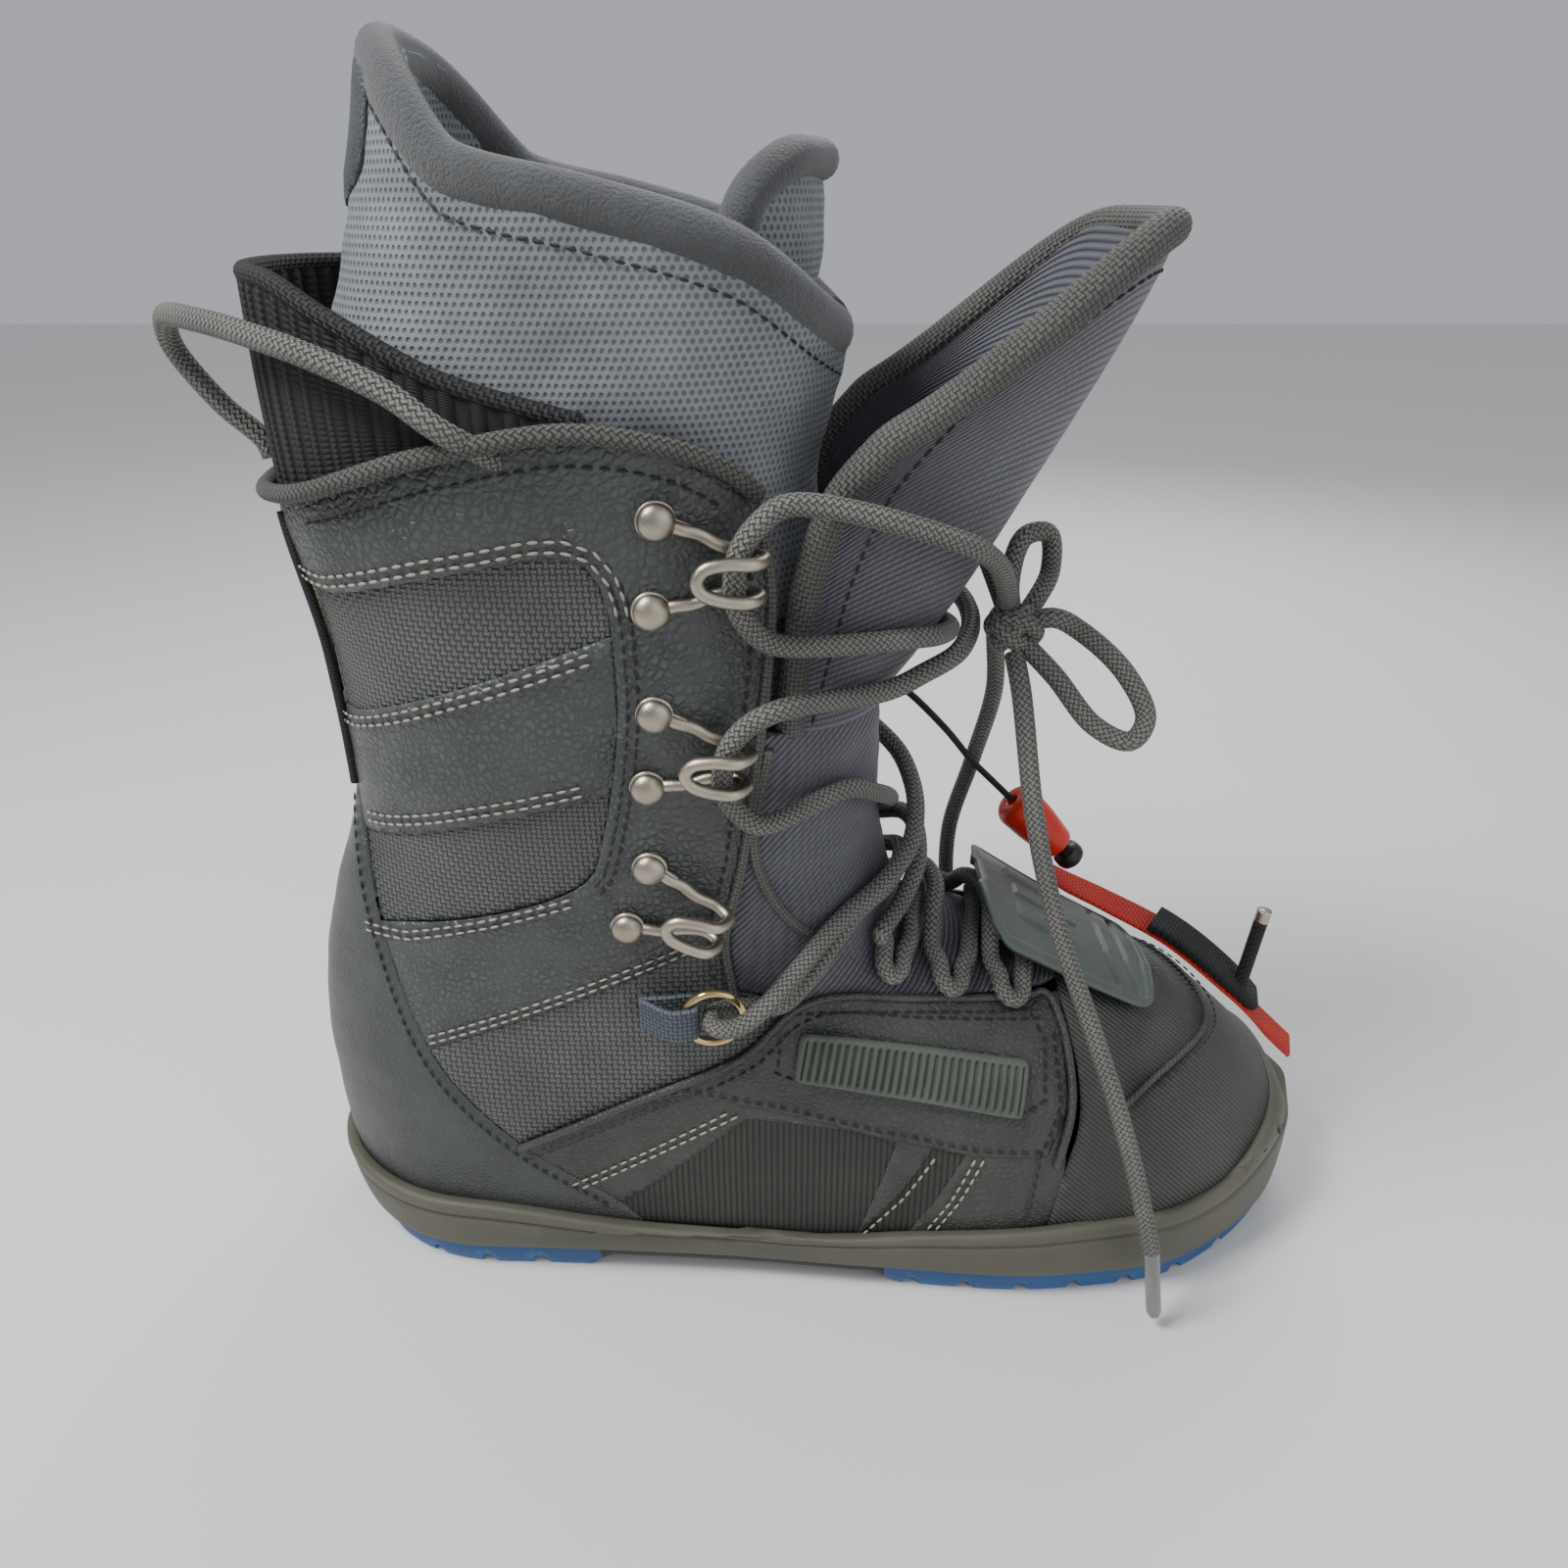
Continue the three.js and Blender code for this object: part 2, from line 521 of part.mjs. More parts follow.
function reversed(geometry) {
  const at = geometry.attributes.position;
  const point = new THREE.Vector3();
  const other = new THREE.Vector3();
  for (let i = 0; i < at.count; i += 3) {
    point.fromBufferAttribute(at, i + 1);
    other.fromBufferAttribute(at, i + 2);
    at.setXYZ(i + 1, ...other.toArray());
    at.setXYZ(i + 2, ...point.toArray());
  }
  return geometry;
}

function addHooks(hand) {
  const s = HOOK_SPREAD;
  const half = [[5.4, s * 0.86, 2.0], [9.5, 8, 2.1], [14, 5.8, 2.1], [20, 4.6, 2.3], [23.6, 4.3, 6.2],
    [20.5, 4.3, HOOK_RETURN - 0.3], [14.5, 4.1, HOOK_RETURN], [9.6, 2.6, HOOK_RETURN - 0.3]];
  const wire = [...half, [8.2, 0, HOOK_RETURN - 0.4],
    ...half.slice().reverse().map(([a, b, c]) => [a, -b, c])];
  const base = LUG_CLEARANCE + LUG_THICKNESS / 2;
  for (const hook of HOOKS) {
    const frame = mountFrame(hook.x, hook.z, hand, hook.tilt);
    const wirePath = tubeAlong(wire.map((p) => frame(...p)), HOOK_WIRE, 6, 4.2);
    let body = toSolid(wirePath);
    for (const end of [s, -s]) {
      const lug = new THREE.CylinderGeometry(LUG_RADIUS, LUG_RADIUS, LUG_THICKNESS, 10);
      const neck = new THREE.BoxGeometry(7.6, 4, LUG_THICKNESS);
      body = body.add(framed(placed(lug, [0, end, base], [Math.PI / 2, 0, 0]), frame))
        .add(framed(placed(neck, [3.8, end * 0.93, base], [0, 0, -Math.sign(end) * 0.2]), frame));
      const dome = [[0, 0], [RIVET_RADIUS, 0], [RIVET_RADIUS * 0.9, RIVET_HEIGHT * 0.55],
        [RIVET_RADIUS * 0.5, RIVET_HEIGHT * 0.93], [0, RIVET_HEIGHT]]
        .map(([r, h]) => new THREE.Vector2(r, h));
      const seat = LUG_CLEARANCE + LUG_THICKNESS + RIVET_LIFT;
      const rivet = placed(new THREE.LatheGeometry(dome, 10), [0, end, seat], [Math.PI / 2, 0, 0]);
      const place = end > 0 ? 'upper' : 'lower';
      add(`rivet_${hook.name}_${place}_${sideName(hand)}`, 'nickel', framed(rivet, frame));
    }
    add(`hook_${hook.name}_${sideName(hand)}`, 'nickel', largest(body));
  }
}

function addRing(hand) {
  const frame = mountFrame(RING_X, RING_Z, hand);
  const profile = [];
  for (let k = 0; k <= 6; k += 1) {
    const angle = (k / 6) * 2 * Math.PI;
    profile.push(new THREE.Vector2(RING_RADIUS + RING_WIRE / 2 * Math.cos(angle),
      RING_WIRE / 2 * Math.sin(angle)));
  }
  const ring = placed(new THREE.LatheGeometry(profile, 18), [0, 0, RING_STANDOFF], [Math.PI / 2, 0, 0]);
  add(`ring_${sideName(hand)}`, 'brass', framed(ring, frame));
  const back = -RING_RADIUS - 12;
  const front = -RING_RADIUS + 4.6;
  const slot = front - 1.3;
  const top = RING_STANDOFF + 3.4;
  const loop = new THREE.Shape([[back, 0.6], [front - 2, 0.6], [front, 2.4], [front, top - 2],
    [front - 2, top], [-RING_RADIUS - 4, top], [back, 3.4]].map(([a, c]) => new THREE.Vector2(a, c)));
  loop.holes.push(new THREE.Path([[-RING_RADIUS - 1.9, RING_STANDOFF - 1.7],
    [-RING_RADIUS - 1.9, RING_STANDOFF + 1.8], [slot, RING_STANDOFF + 1.8],
    [slot, RING_STANDOFF - 1.7]].map(([a, c]) => new THREE.Vector2(a, c))));
  const strap = new THREE.ExtrudeGeometry(loop, { depth: WEBBING_WIDTH, bevelEnabled: false, steps: 1 });
  add(`ring_webbing_${sideName(hand)}`, 'webbing',
    framed(placed(strap, [0, WEBBING_WIDTH / 2, 0], [Math.PI / 2, 0, 0]), frame));
}

function addGrip(hand) {
  const plate = new THREE.BoxGeometry(GRIP_LENGTH, GRIP_HEIGHT, GRIP_THICKNESS, 12, 2, 1);
  const at = plate.attributes.position;
  const slope = THREE.MathUtils.degToRad(GRIP_SLOPE);
  for (let i = 0; i < at.count; i += 1) {
    const [u, v, t] = [at.getX(i), at.getY(i), at.getZ(i)];
    const x = GRIP_X + u * Math.cos(slope) - v * Math.sin(slope);
    const z = GRIP_Z + u * Math.sin(slope) + v * Math.cos(slope);
    const p = onSide(x, z, hand, GAP + 0.9 + GRIP_THICKNESS / 2 + t);
    at.setXYZ(i, p.x, p.y, p.z);
  }
  if (hand === MEDIAL) {
    const order = plate.index.array;
    for (let i = 0; i < order.length; i += 3) [order[i + 1], order[i + 2]] = [order[i + 2], order[i + 1]];
  }
  add(`side_grip_${sideName(hand)}`, 'guard', toSolid(plate));
}

// laces -----------------------------------------------------------------
const LOW = LACE / 2 + 1.1;      // a strand lying on the tongue
const HIGH = LOW + LACE + 2.0;   // a strand crossing over another

function outward(x, z, side) {
  const step = 0.5;
  const slopeX = (halfWidth(x + step, z) - halfWidth(x - step, z)) / (2 * step);
  const slopeZ = (halfWidth(x, z + step) - halfWidth(x, z - step)) / (2 * step);
  return new THREE.Vector3(-slopeX, side, -slopeZ).normalize();
}

// point over the front of the form at a height, out from its surface
function onFront(y, z, out) {
  const centre = through(CENTRE_Y, 20);
  let [low, high] = [-30, frontAt(z, 0) - 0.2];
  for (let k = 0; k < 30; k += 1) {
    const x = (low + high) / 2;
    if (halfWidth(x, z) > Math.abs(y - centre)) low = x;
    else high = x;
  }
  return new THREE.Vector3(low, y, z).addScaledVector(outward(low, z, Math.sign(y - centre)), out);
}

// point over the top of the form at a length, out from its surface
function onTop(x, y, out) {
  const offset = y - through(CENTRE_Y, x);
  let [low, high] = [WIDEST_Z, through(TOP_Z, x) - 0.2];
  for (let k = 0; k < 30; k += 1) {
    const z = (low + high) / 2;
    if (halfWidth(x, z) > Math.abs(offset)) low = z;
    else high = z;
  }
  return new THREE.Vector3(x, y, low).addScaledVector(outward(x, low, Math.sign(offset)), out);
}

// point on the tongue's free upper part; turn is the angle round the leg
function onFlap(turn, z, out) {
  const angle = THREE.MathUtils.degToRad(turn);
  const edge = through(TONGUE_EDGE_X, z);
  const depth = through(TONGUE_FRONT_X, z) - edge + out + FLAP_CLEAR;
  const half = TONGUE_HALF_WIDTH + TONGUE_WIDENING * (z - TONGUE_SPLIT_Z) / 110 + out + FLAP_CLEAR;
  return new THREE.Vector3(edge + depth * Math.cos(angle) ** 0.9, half * Math.sin(angle), z);
}

function eyelet(x, hand) {
  const y = through(CENTRE_Y, x) + hand * EYELET_Y;
  return [onTop(x + 3.6, y - hand * 4, LOW), onTop(x + 2.6, y, LOW), onTop(x, y + hand * 1.6, LOW),
    onTop(x - 2.6, y, LOW), onTop(x - 3.6, y - hand * 4, LOW)];
}

function roundHook(index, hand) {
  const hook = HOOKS[index];
  const frame = mountFrame(hook.x, hook.z, hand, hook.tilt);
  return [[28, -16, 5.5], [21.4, -11.5, 6.4], [18, -6, LACE_IN_HOOK], [17.2, 0, LACE_IN_HOOK],
    [18, 6, LACE_IN_HOOK], [21.4, 11.5, 6.4], [28, 16, 5.5]].map((p) => frame(...p));
}

function roundRing(hand) {
  const frame = mountFrame(RING_X, RING_Z, hand);
  return [[20, 1, 3.6], [12, 0, 3.2], [5, 0, 3.1], [0.4, 0, 4.6], [-0.6, 0, 8], [0.6, 0, 11.4],
    [5.5, 1.5, 13.8], [13, 7, 13.6]].map((p) => frame(...p));
}

// a strand across the tongue in equal steps; a raised one bows out over the strand it crosses
function across(place, from, to, raised, steps = 7) {
  const points = [];
  for (let k = 1; k < steps; k += 1) {
    const t = k / steps;
    const bell = Math.max(0, 1 - Math.abs(2 * t - 1) / 0.62) ** 0.6;
    const out = LOW + (raised ? (HIGH - LOW) * Math.min(1, bell * 1.35) : 0);
    points.push(place(from[0] + (to[0] - from[0]) * t, from[1] + (to[1] - from[1]) * t, out));
  }
  return points;
}

function acrossTop(fromX, toX, hand, raised) {
  const place = (x, y, out) => onTop(x, through(CENTRE_Y, x) + y, out);
  return across(place, [fromX, hand * EYELET_Y], [toX, -hand * EYELET_Y], raised);
}

// over the bend of the tongue, from the first eyelet's height up and down to the ring's
function onAnkle(y, t, out) {
  const lift = ANKLE_LACE_RISE * Math.sin(t * Math.PI) + ANKLE_LACE_SLANT * t;
  const away = new THREE.Vector3(0.62, y / 70, 0.76).normalize();
  return onFront(y, ANKLE_LACE_LOW + lift, 0).addScaledVector(away, out + ANKLE_LACE_CLEAR);
}

function laceHalf(hand, over) {
  const other = -hand;
  const [e1, e2, e3] = EYELETS;
  return [
    onTop(e3 + 6, through(CENTRE_Y, e3) + hand * 3.2, LOW),
    onTop(e3 + 5, through(CENTRE_Y, e3) + hand * 14, LOW),
    ...eyelet(e3, hand),
    ...acrossTop(e3 - 4, e2 + 4, hand, over),
    ...eyelet(e2, other),
    ...acrossTop(e2 - 4, e1 + 4, other, !over),
    ...eyelet(e1, hand),
    ...across(onAnkle, [hand * 31, 0], [other * 34, 1], over, 9),
    ...roundRing(other),
    ...across(onFront, [other * 37, 122], [hand * 37, 174], !over, 9),
    ...roundHook(1, hand),
    ...across(onFlap, [hand * 62, 194], [other * 62, 212], over, 9),
    ...roundHook(0, other),
    onFlap(other * 58, 236, 8),
    onFlap(other * 40, 228, 8),
    onFlap(other * 20, 216, 11),
    onFlap(other * 14, 213, 12),
  ];
}

function addLaces() {
  const knot = new THREE.Vector3(...KNOT);
  for (const [name, hand, over] of [['lace_a', LATERAL, true], ['lace_b', MEDIAL, false]]) {
    const points = laceHalf(hand, over);
    const last = points[points.length - 1];
    const end = knot.clone().addScaledVector(last.clone().sub(knot).normalize(), KNOT_RADIUS + GAP + 2);
    points[points.length - 1] = end;
    add(name, 'lace', toSolid(tubeAlong(points, LACE, LACE_SIDES, 7.5)));
  }
}

// ends, loops and tails of the lace -----------------------------------------------------------------
function turnOnto(axis) {
  return new THREE.Quaternion().setFromUnitVectors(new THREE.Vector3(0, 1, 0), axis.clone().normalize());
}

function capsule(from, to, radius, sides = 8) {
  const [a, b] = [new THREE.Vector3(...from), new THREE.Vector3(...to)];
  const axis = b.clone().sub(a);
  const shape = new THREE.CylinderGeometry(radius, radius, axis.length(), sides);
  const turn = turnOnto(axis);
  const middle = a.add(b).multiplyScalar(0.5);
  const matrix = new THREE.Matrix4().compose(middle, turn, new THREE.Vector3(1, 1, 1));
  return shape.applyMatrix4(matrix);
}

function fromKnot(direction) {
  const away = new THREE.Vector3(...direction).normalize().multiplyScalar(KNOT_RADIUS + GAP + 0.4);
  return away.add(new THREE.Vector3(...KNOT));
}

function addLaceEnds() {
  const step = 9;
  const ball = placed(new THREE.SphereGeometry(KNOT_RADIUS, 10, 7), KNOT);
  const loops = [[KNOT, [77, -14, 205], [88, -20, 196], [92, -27, 186], [86, -29, 182],
    [76, -25, 187], KNOT],
    [KNOT, [71, 1, 217], [70, 3, 226], [63, 0, 226], KNOT]];
  const bow = loops.reduce((sum, loop) => {
    const middle = [loop.slice(0, -1), loop.slice(-2)];
    return sum.add(toSolid(tubeAlong(middle[0], LACE, LACE_SIDES, step)))
      .add(toSolid(tubeAlong(middle[1], LACE, LACE_SIDES, step)));
  }, toSolid(ball));
  add('lace_bow', 'lace', bow);
  const near = [[61, -24, 192], ...TAIL_NEAR];
  add('lace_tail_lateral', 'lace', toSolid(tubeAlong([fromKnot([0, -0.55, -0.8]), ...near],
    LACE, LACE_SIDES, step)));
  add('aglet_lateral', 'clear', toSolid(capsule(...AGLET_NEAR, AGLET / 2)));
  add('lace_tail_medial', 'lace', toSolid(tubeAlong([fromKnot([-0.2, 0.9, -0.35]), ...TAIL_FAR],
    LACE, LACE_SIDES, step)));
  add('aglet_medial', 'clear', toSolid(capsule(...AGLET_FAR, AGLET / 2)));
  const beside = REAR_LOOP_START.map(([x, z]) => onSide(x, COLLAR_BACK_Z, LATERAL, LACE / 2 + 2.2).setZ(z));
  add('rear_pull_loop', 'lace', toSolid(tubeAlong([...beside, ...REAR_LOOP_END], LACE, LACE_SIDES, step)));
}

// collar, trims and guard -----------------------------------------------------------------
function addTrims() {
  const collarBand = sidePrism([...CUFF_TOP, ...COLLAR_RISE]);
  const [low, high] = [COLLAR_BACK_Z - 5, COLLAR_BACK_Z + 59];
  const cuff = formBody(0.3, low, high, COLLAR_BACK_Z)
    .subtract(formBody(CUFF_THICKNESS, low - 6, high + 10, COLLAR_BACK_Z))
    .subtract(formBody(LINER_OUTER - GAP - 0.2, low - 6, high + 10)).intersect(collarBand);
  add('rear_cuff', 'knit', largest(cuff));
  const strip = formBody(-STRIP_THICKNESS - 0.5, 176, 234).subtract(formBody(-0.5, 170, 240))
    .intersect(toSolid(placed(new THREE.BoxGeometry(60, STRIP_WIDTH, 90), [-125, 0, 205])));
  add('backstay_strip', 'tan', largest(strip));
  const out = PIPING_DIAMETER / 2 + 1.5;
  const lengths = [-8, -20, -32, -44, -56, -68, -80, -92, -102, -111, -118, -122, -123.8];
  const along = (x, side) => {
    const level = Math.min(collarAt(x), COLLAR_BACK_Z + 4);
    const p = onSide(x, level, side).addScaledVector(outward(x, level, side), out);
    return p.setZ(collarAt(x));
  };
  const rim = [...lengths.map((x) => along(x, LATERAL)),
    new THREE.Vector3(through(BACK_X, COLLAR_BACK_Z) - out, 0, collarAt(-125)),
    ...lengths.slice().reverse().map((x) => along(x, MEDIAL))];
  add('collar_piping', 'lace', toSolid(tubeAlong(rim, PIPING_DIAMETER, 6, 11)));
  const guard = new THREE.BoxGeometry(1, 1, 1, 8, 8, 1);
  const at = guard.attributes.position;
  for (let i = 0; i < at.count; i += 1) {
    const u = at.getX(i) + 0.5;
    const v = at.getY(i) * 2;
    const round = 1 - 0.16 * Math.max(0, Math.abs(2 * u - 1) - 0.55) / 0.45;
    const x = GUARD_FROM + (GUARD_TO - GUARD_FROM) * u;
    const y = through(CENTRE_Y, x) + v * GUARD_HALF_WIDTH * round;
    const lift = GUARD_FRONT_LIFT + (GUARD_REAR_LIFT - GUARD_FRONT_LIFT) * (1 - u) ** 1.3;
    const p = onTop(x, y, lift + (at.getZ(i) + 0.5) * GUARD_THICKNESS);
    at.setXYZ(i, p.x, p.y, p.z);
  }
  add('lace_guard', 'guard', toSolid(guard));
}

function collarAt(x) {
  const k = COLLAR.findIndex(([cx], i) => i > 0 && cx >= x);
  const [[xa, za], [xb, zb]] = [COLLAR[k - 1], COLLAR[k]];
  return za + ((zb - za) * (x - xa)) / (xb - xa);
}

// liner extras -----------------------------------------------------------------
function addLinerExtras() {
  const inner = LINER_OUTER + LINER_WALL + GAP + 0.3;
  const lobe = sidePrism(smooth([[4, 150], [-6, 190], [-12, 240], [-14, 280], [-8, 308], [2, 317],
    [14, 312], [24, 290], [30, 240], [30, 180], [24, 150], [4, 150]]));
  const tongue = formBody(inner, 150, 330).subtract(formBody(inner + LINER_TONGUE_THICKNESS, 140, 340))
    .intersect(lobe);
  add('liner_tongue', 'liner', largest(tongue));
}

// quick pull of the liner -----------------------------------------------------------------
function addQuickPull() {
  const [top, tip] = LOCK_AXIS.map((p) => new THREE.Vector3(...p));
  const axis = tip.clone().sub(top);
  const length = axis.length();
  const turn = turnOnto(axis);
  const place = (geometry) => geometry.applyMatrix4(
    new THREE.Matrix4().compose(top, turn, new THREE.Vector3(1, 1, 1)));
  const bore = BUTTON_RADIUS + GAP;
  const wall = [[bore, length], [bore, 7], [LOCK_BORE, 7], [LOCK_BORE, 0], [6.2, 0],
    [7.6, 2.5], [7.2, 12], [5.6, length - 1], [5.0, length], [bore, length]]
    .map(([r, h]) => new THREE.Vector2(r, h));
  add('lock_body', 'red', toSolid(place(new THREE.LatheGeometry(wall, 14))));
  const plunger = [[0, 7 + BUTTON_TRAVEL + 1], [BUTTON_RADIUS, 7 + BUTTON_TRAVEL + 1],
    [BUTTON_RADIUS, length + BUTTON_TRAVEL + 0.6], [4.6, length + BUTTON_TRAVEL + 0.9],
    [4.9, length + BUTTON_TRAVEL + 4], [3, length + BUTTON_TRAVEL + 6.4], [0, length + BUTTON_TRAVEL + 7]]
    .map(([r, h]) => new THREE.Vector2(r, h));
  add('lock_button', 'black', toSolid(place(new THREE.LatheGeometry(plunger, 12))));
  const start = top.clone().addScaledVector(axis.clone().normalize(), -GAP);
  add('pull_cord', 'black', toSolid(tubeAlong([...PULL_ROUTE, start], PULL_CORD, 6, 7)));
  add('pull_strap', 'red', toSolid(ribbon(STRAP_ROUTE, STRAP_WIDTH, STRAP_THICKNESS, 12)));
  const lift = (STRAP_THICKNESS + SLEEVE_THICKNESS) / 2 + GAP;
  const sleeve = ribbon(STRAP_ROUTE, SLEEVE_WIDTH, SLEEVE_THICKNESS, 6, SLEEVE_FROM, SLEEVE_TO, lift);
  const endFoot = curveOf(STRAP_ROUTE).getPointAt(SLEEVE_TO - 0.04).add(new THREE.Vector3(0, 0, lift + 1));
  const endTip = endFoot.clone().add(new THREE.Vector3(3, 1, CORD_END_HEIGHT));
  const cordEnd = capsule(endFoot.toArray(), endTip.toArray(), 2.4, 8);
  add('strap_sleeve', 'black', toSolid(sleeve).add(toSolid(cordEnd)));
}

function curveOf(route) {
  return new THREE.CatmullRomCurve3(route.map((p) => new THREE.Vector3(...p)), false, 'centripetal');
}

// flat strip whose width stays level across the boot
function ribbon(route, width, thickness, steps, from = 0, to = 1, lift = 0) {
  const curve = curveOf(route);
  const strip = new THREE.BoxGeometry(1, 1, 1, steps, 1, 1);
  const at = strip.attributes.position;
  for (let i = 0; i < at.count; i += 1) {
    const t = from + (to - from) * Math.min(1, Math.max(0, at.getX(i) + 0.5));
    const along = curve.getTangentAt(t);
    const across = new THREE.Vector3(-along.y, along.x, 0).normalize();
    const up = new THREE.Vector3().crossVectors(along, across);
    const p = curve.getPointAt(t).addScaledVector(across, at.getY(i) * width)
      .addScaledVector(up, at.getZ(i) * thickness + lift);
    at.setXYZ(i, p.x, p.y, p.z);
  }
  return strip;
}

addSole();
addPanels();
addTongue();
addLiner();
addLinerExtras();
addTrims();
for (const hand of [LATERAL, MEDIAL]) {
  addHooks(hand);
  addRing(hand);
  addGrip(hand);
}
addLaces();
addLaceEnds();
addQuickPull();
boot.position.x = -FRAME_X;

export default boot;
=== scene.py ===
"""Detailed looks of a lace-up snowboard boot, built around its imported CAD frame.

Shapes are worked out in millimetres in the boot's own frame: toe towards +X, lateral side towards -Y,
ankle axis at x = 0, floor at z = 0. A piece moves into the row frame, in metres, when it is finished.
"""
import json
import logging
import math
from collections.abc import Callable, Sequence
from dataclasses import dataclass, field
from enum import Enum

import bmesh
import bpy
import numpy as np
from mathutils import Matrix, Vector, noise
from mathutils.bvhtree import BVHTree
from mathutils.kdtree import KDTree

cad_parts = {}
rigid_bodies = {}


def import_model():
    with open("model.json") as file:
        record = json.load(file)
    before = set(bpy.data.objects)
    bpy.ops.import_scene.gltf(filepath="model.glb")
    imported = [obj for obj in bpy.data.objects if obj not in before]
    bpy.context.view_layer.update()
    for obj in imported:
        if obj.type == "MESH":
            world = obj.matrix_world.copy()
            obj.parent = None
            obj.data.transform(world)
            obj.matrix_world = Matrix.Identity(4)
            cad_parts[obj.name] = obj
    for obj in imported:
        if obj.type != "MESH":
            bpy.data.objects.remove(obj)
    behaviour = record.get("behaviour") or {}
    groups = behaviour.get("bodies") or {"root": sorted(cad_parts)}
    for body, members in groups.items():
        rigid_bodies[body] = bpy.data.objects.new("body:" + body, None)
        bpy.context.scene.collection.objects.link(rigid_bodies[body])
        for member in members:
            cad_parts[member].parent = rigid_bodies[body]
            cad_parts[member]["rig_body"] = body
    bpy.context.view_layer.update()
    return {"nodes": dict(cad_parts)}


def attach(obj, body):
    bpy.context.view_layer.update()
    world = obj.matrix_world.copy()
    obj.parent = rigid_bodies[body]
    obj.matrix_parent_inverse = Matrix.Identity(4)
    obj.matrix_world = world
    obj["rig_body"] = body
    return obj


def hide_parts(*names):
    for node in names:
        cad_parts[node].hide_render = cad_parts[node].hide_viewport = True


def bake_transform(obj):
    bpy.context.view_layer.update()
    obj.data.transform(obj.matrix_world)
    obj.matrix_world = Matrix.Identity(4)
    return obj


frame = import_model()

LOG = logging.getLogger("boot")
CLOUDS = 38.0  # patches of lighter and darker tone, per metre
SPECKS = 1500.0  # fine surface bumps, per metre
FRAME_X = 12.2  # middle of the sole's length, measured from the ankle's axis
MM = 0.001
Outline = Sequence[Sequence[float]]


class Hand(Enum):
    """Side of the boot; its value is the sign of y."""

    LATERAL = -1
    MEDIAL = 1

    @property
    def word(self) -> str:
        """Name of the side as the frame's nodes spell it."""
        return self.name.lower()


class Pattern(Enum):
    """Surface structure of a finish."""

    LEATHER = "leather"
    BASKET = "basket"
    TWILL = "twill"
    SPACER = "spacer"
    RIB = "rib"
    KNIT = "knit"
    BRAID = "braid"
    FLEECE = "fleece"
    RUBBER = "rubber"
    PLASTIC = "plastic"
    METAL = "metal"


# ---------------------------------------------------------------- finishes
class Nodes:
    """Short calls that grow one material's node tree."""

    def __init__(self, material: bpy.types.Material) -> None:
        """Takes a material with an empty tree."""
        self.tree = material.node_tree

    def add(self, kind: str, inputs: dict | None = None, **settings: object) -> bpy.types.Node:
        """Adds a node.

        Args:
            kind: Node type without its ShaderNode prefix.
            inputs: Value or socket for each input, by name or index.
            **settings: Properties of the node.

        Returns:
            The node.
        """
        node = self.tree.nodes.new("ShaderNode" + kind)
        for key, value in settings.items():
            setattr(node, key, value)
        for key, value in (inputs or {}).items():
            if isinstance(value, bpy.types.NodeSocket):
                self.tree.links.new(value, node.inputs[key])
            else:
                node.inputs[key].default_value = value
        return node

    def math(self, operation: str, *values: object) -> bpy.types.NodeSocket:
        """Adds a Math node and returns its output."""
        return self.add("Math", dict(enumerate(values)), operation=operation).outputs[0]

    def wave(self, along: bpy.types.NodeSocket, pitch: float) -> bpy.types.NodeSocket:
        """Returns a sine that changes sign every pitch along a coordinate."""
        return self.math("SINE", self.math("MULTIPLY", along, math.pi / pitch))


def linear(colour: Sequence[int]) -> tuple[float, float, float, float]:
    """Returns an sRGB colour, from 0 to 255, as linear RGBA."""
    part = [c / 255 for c in colour]
    return (*[c / 12.92 if c < 0.04045 else ((c + 0.055) / 1.055) ** 2.4 for c in part], 1.0)


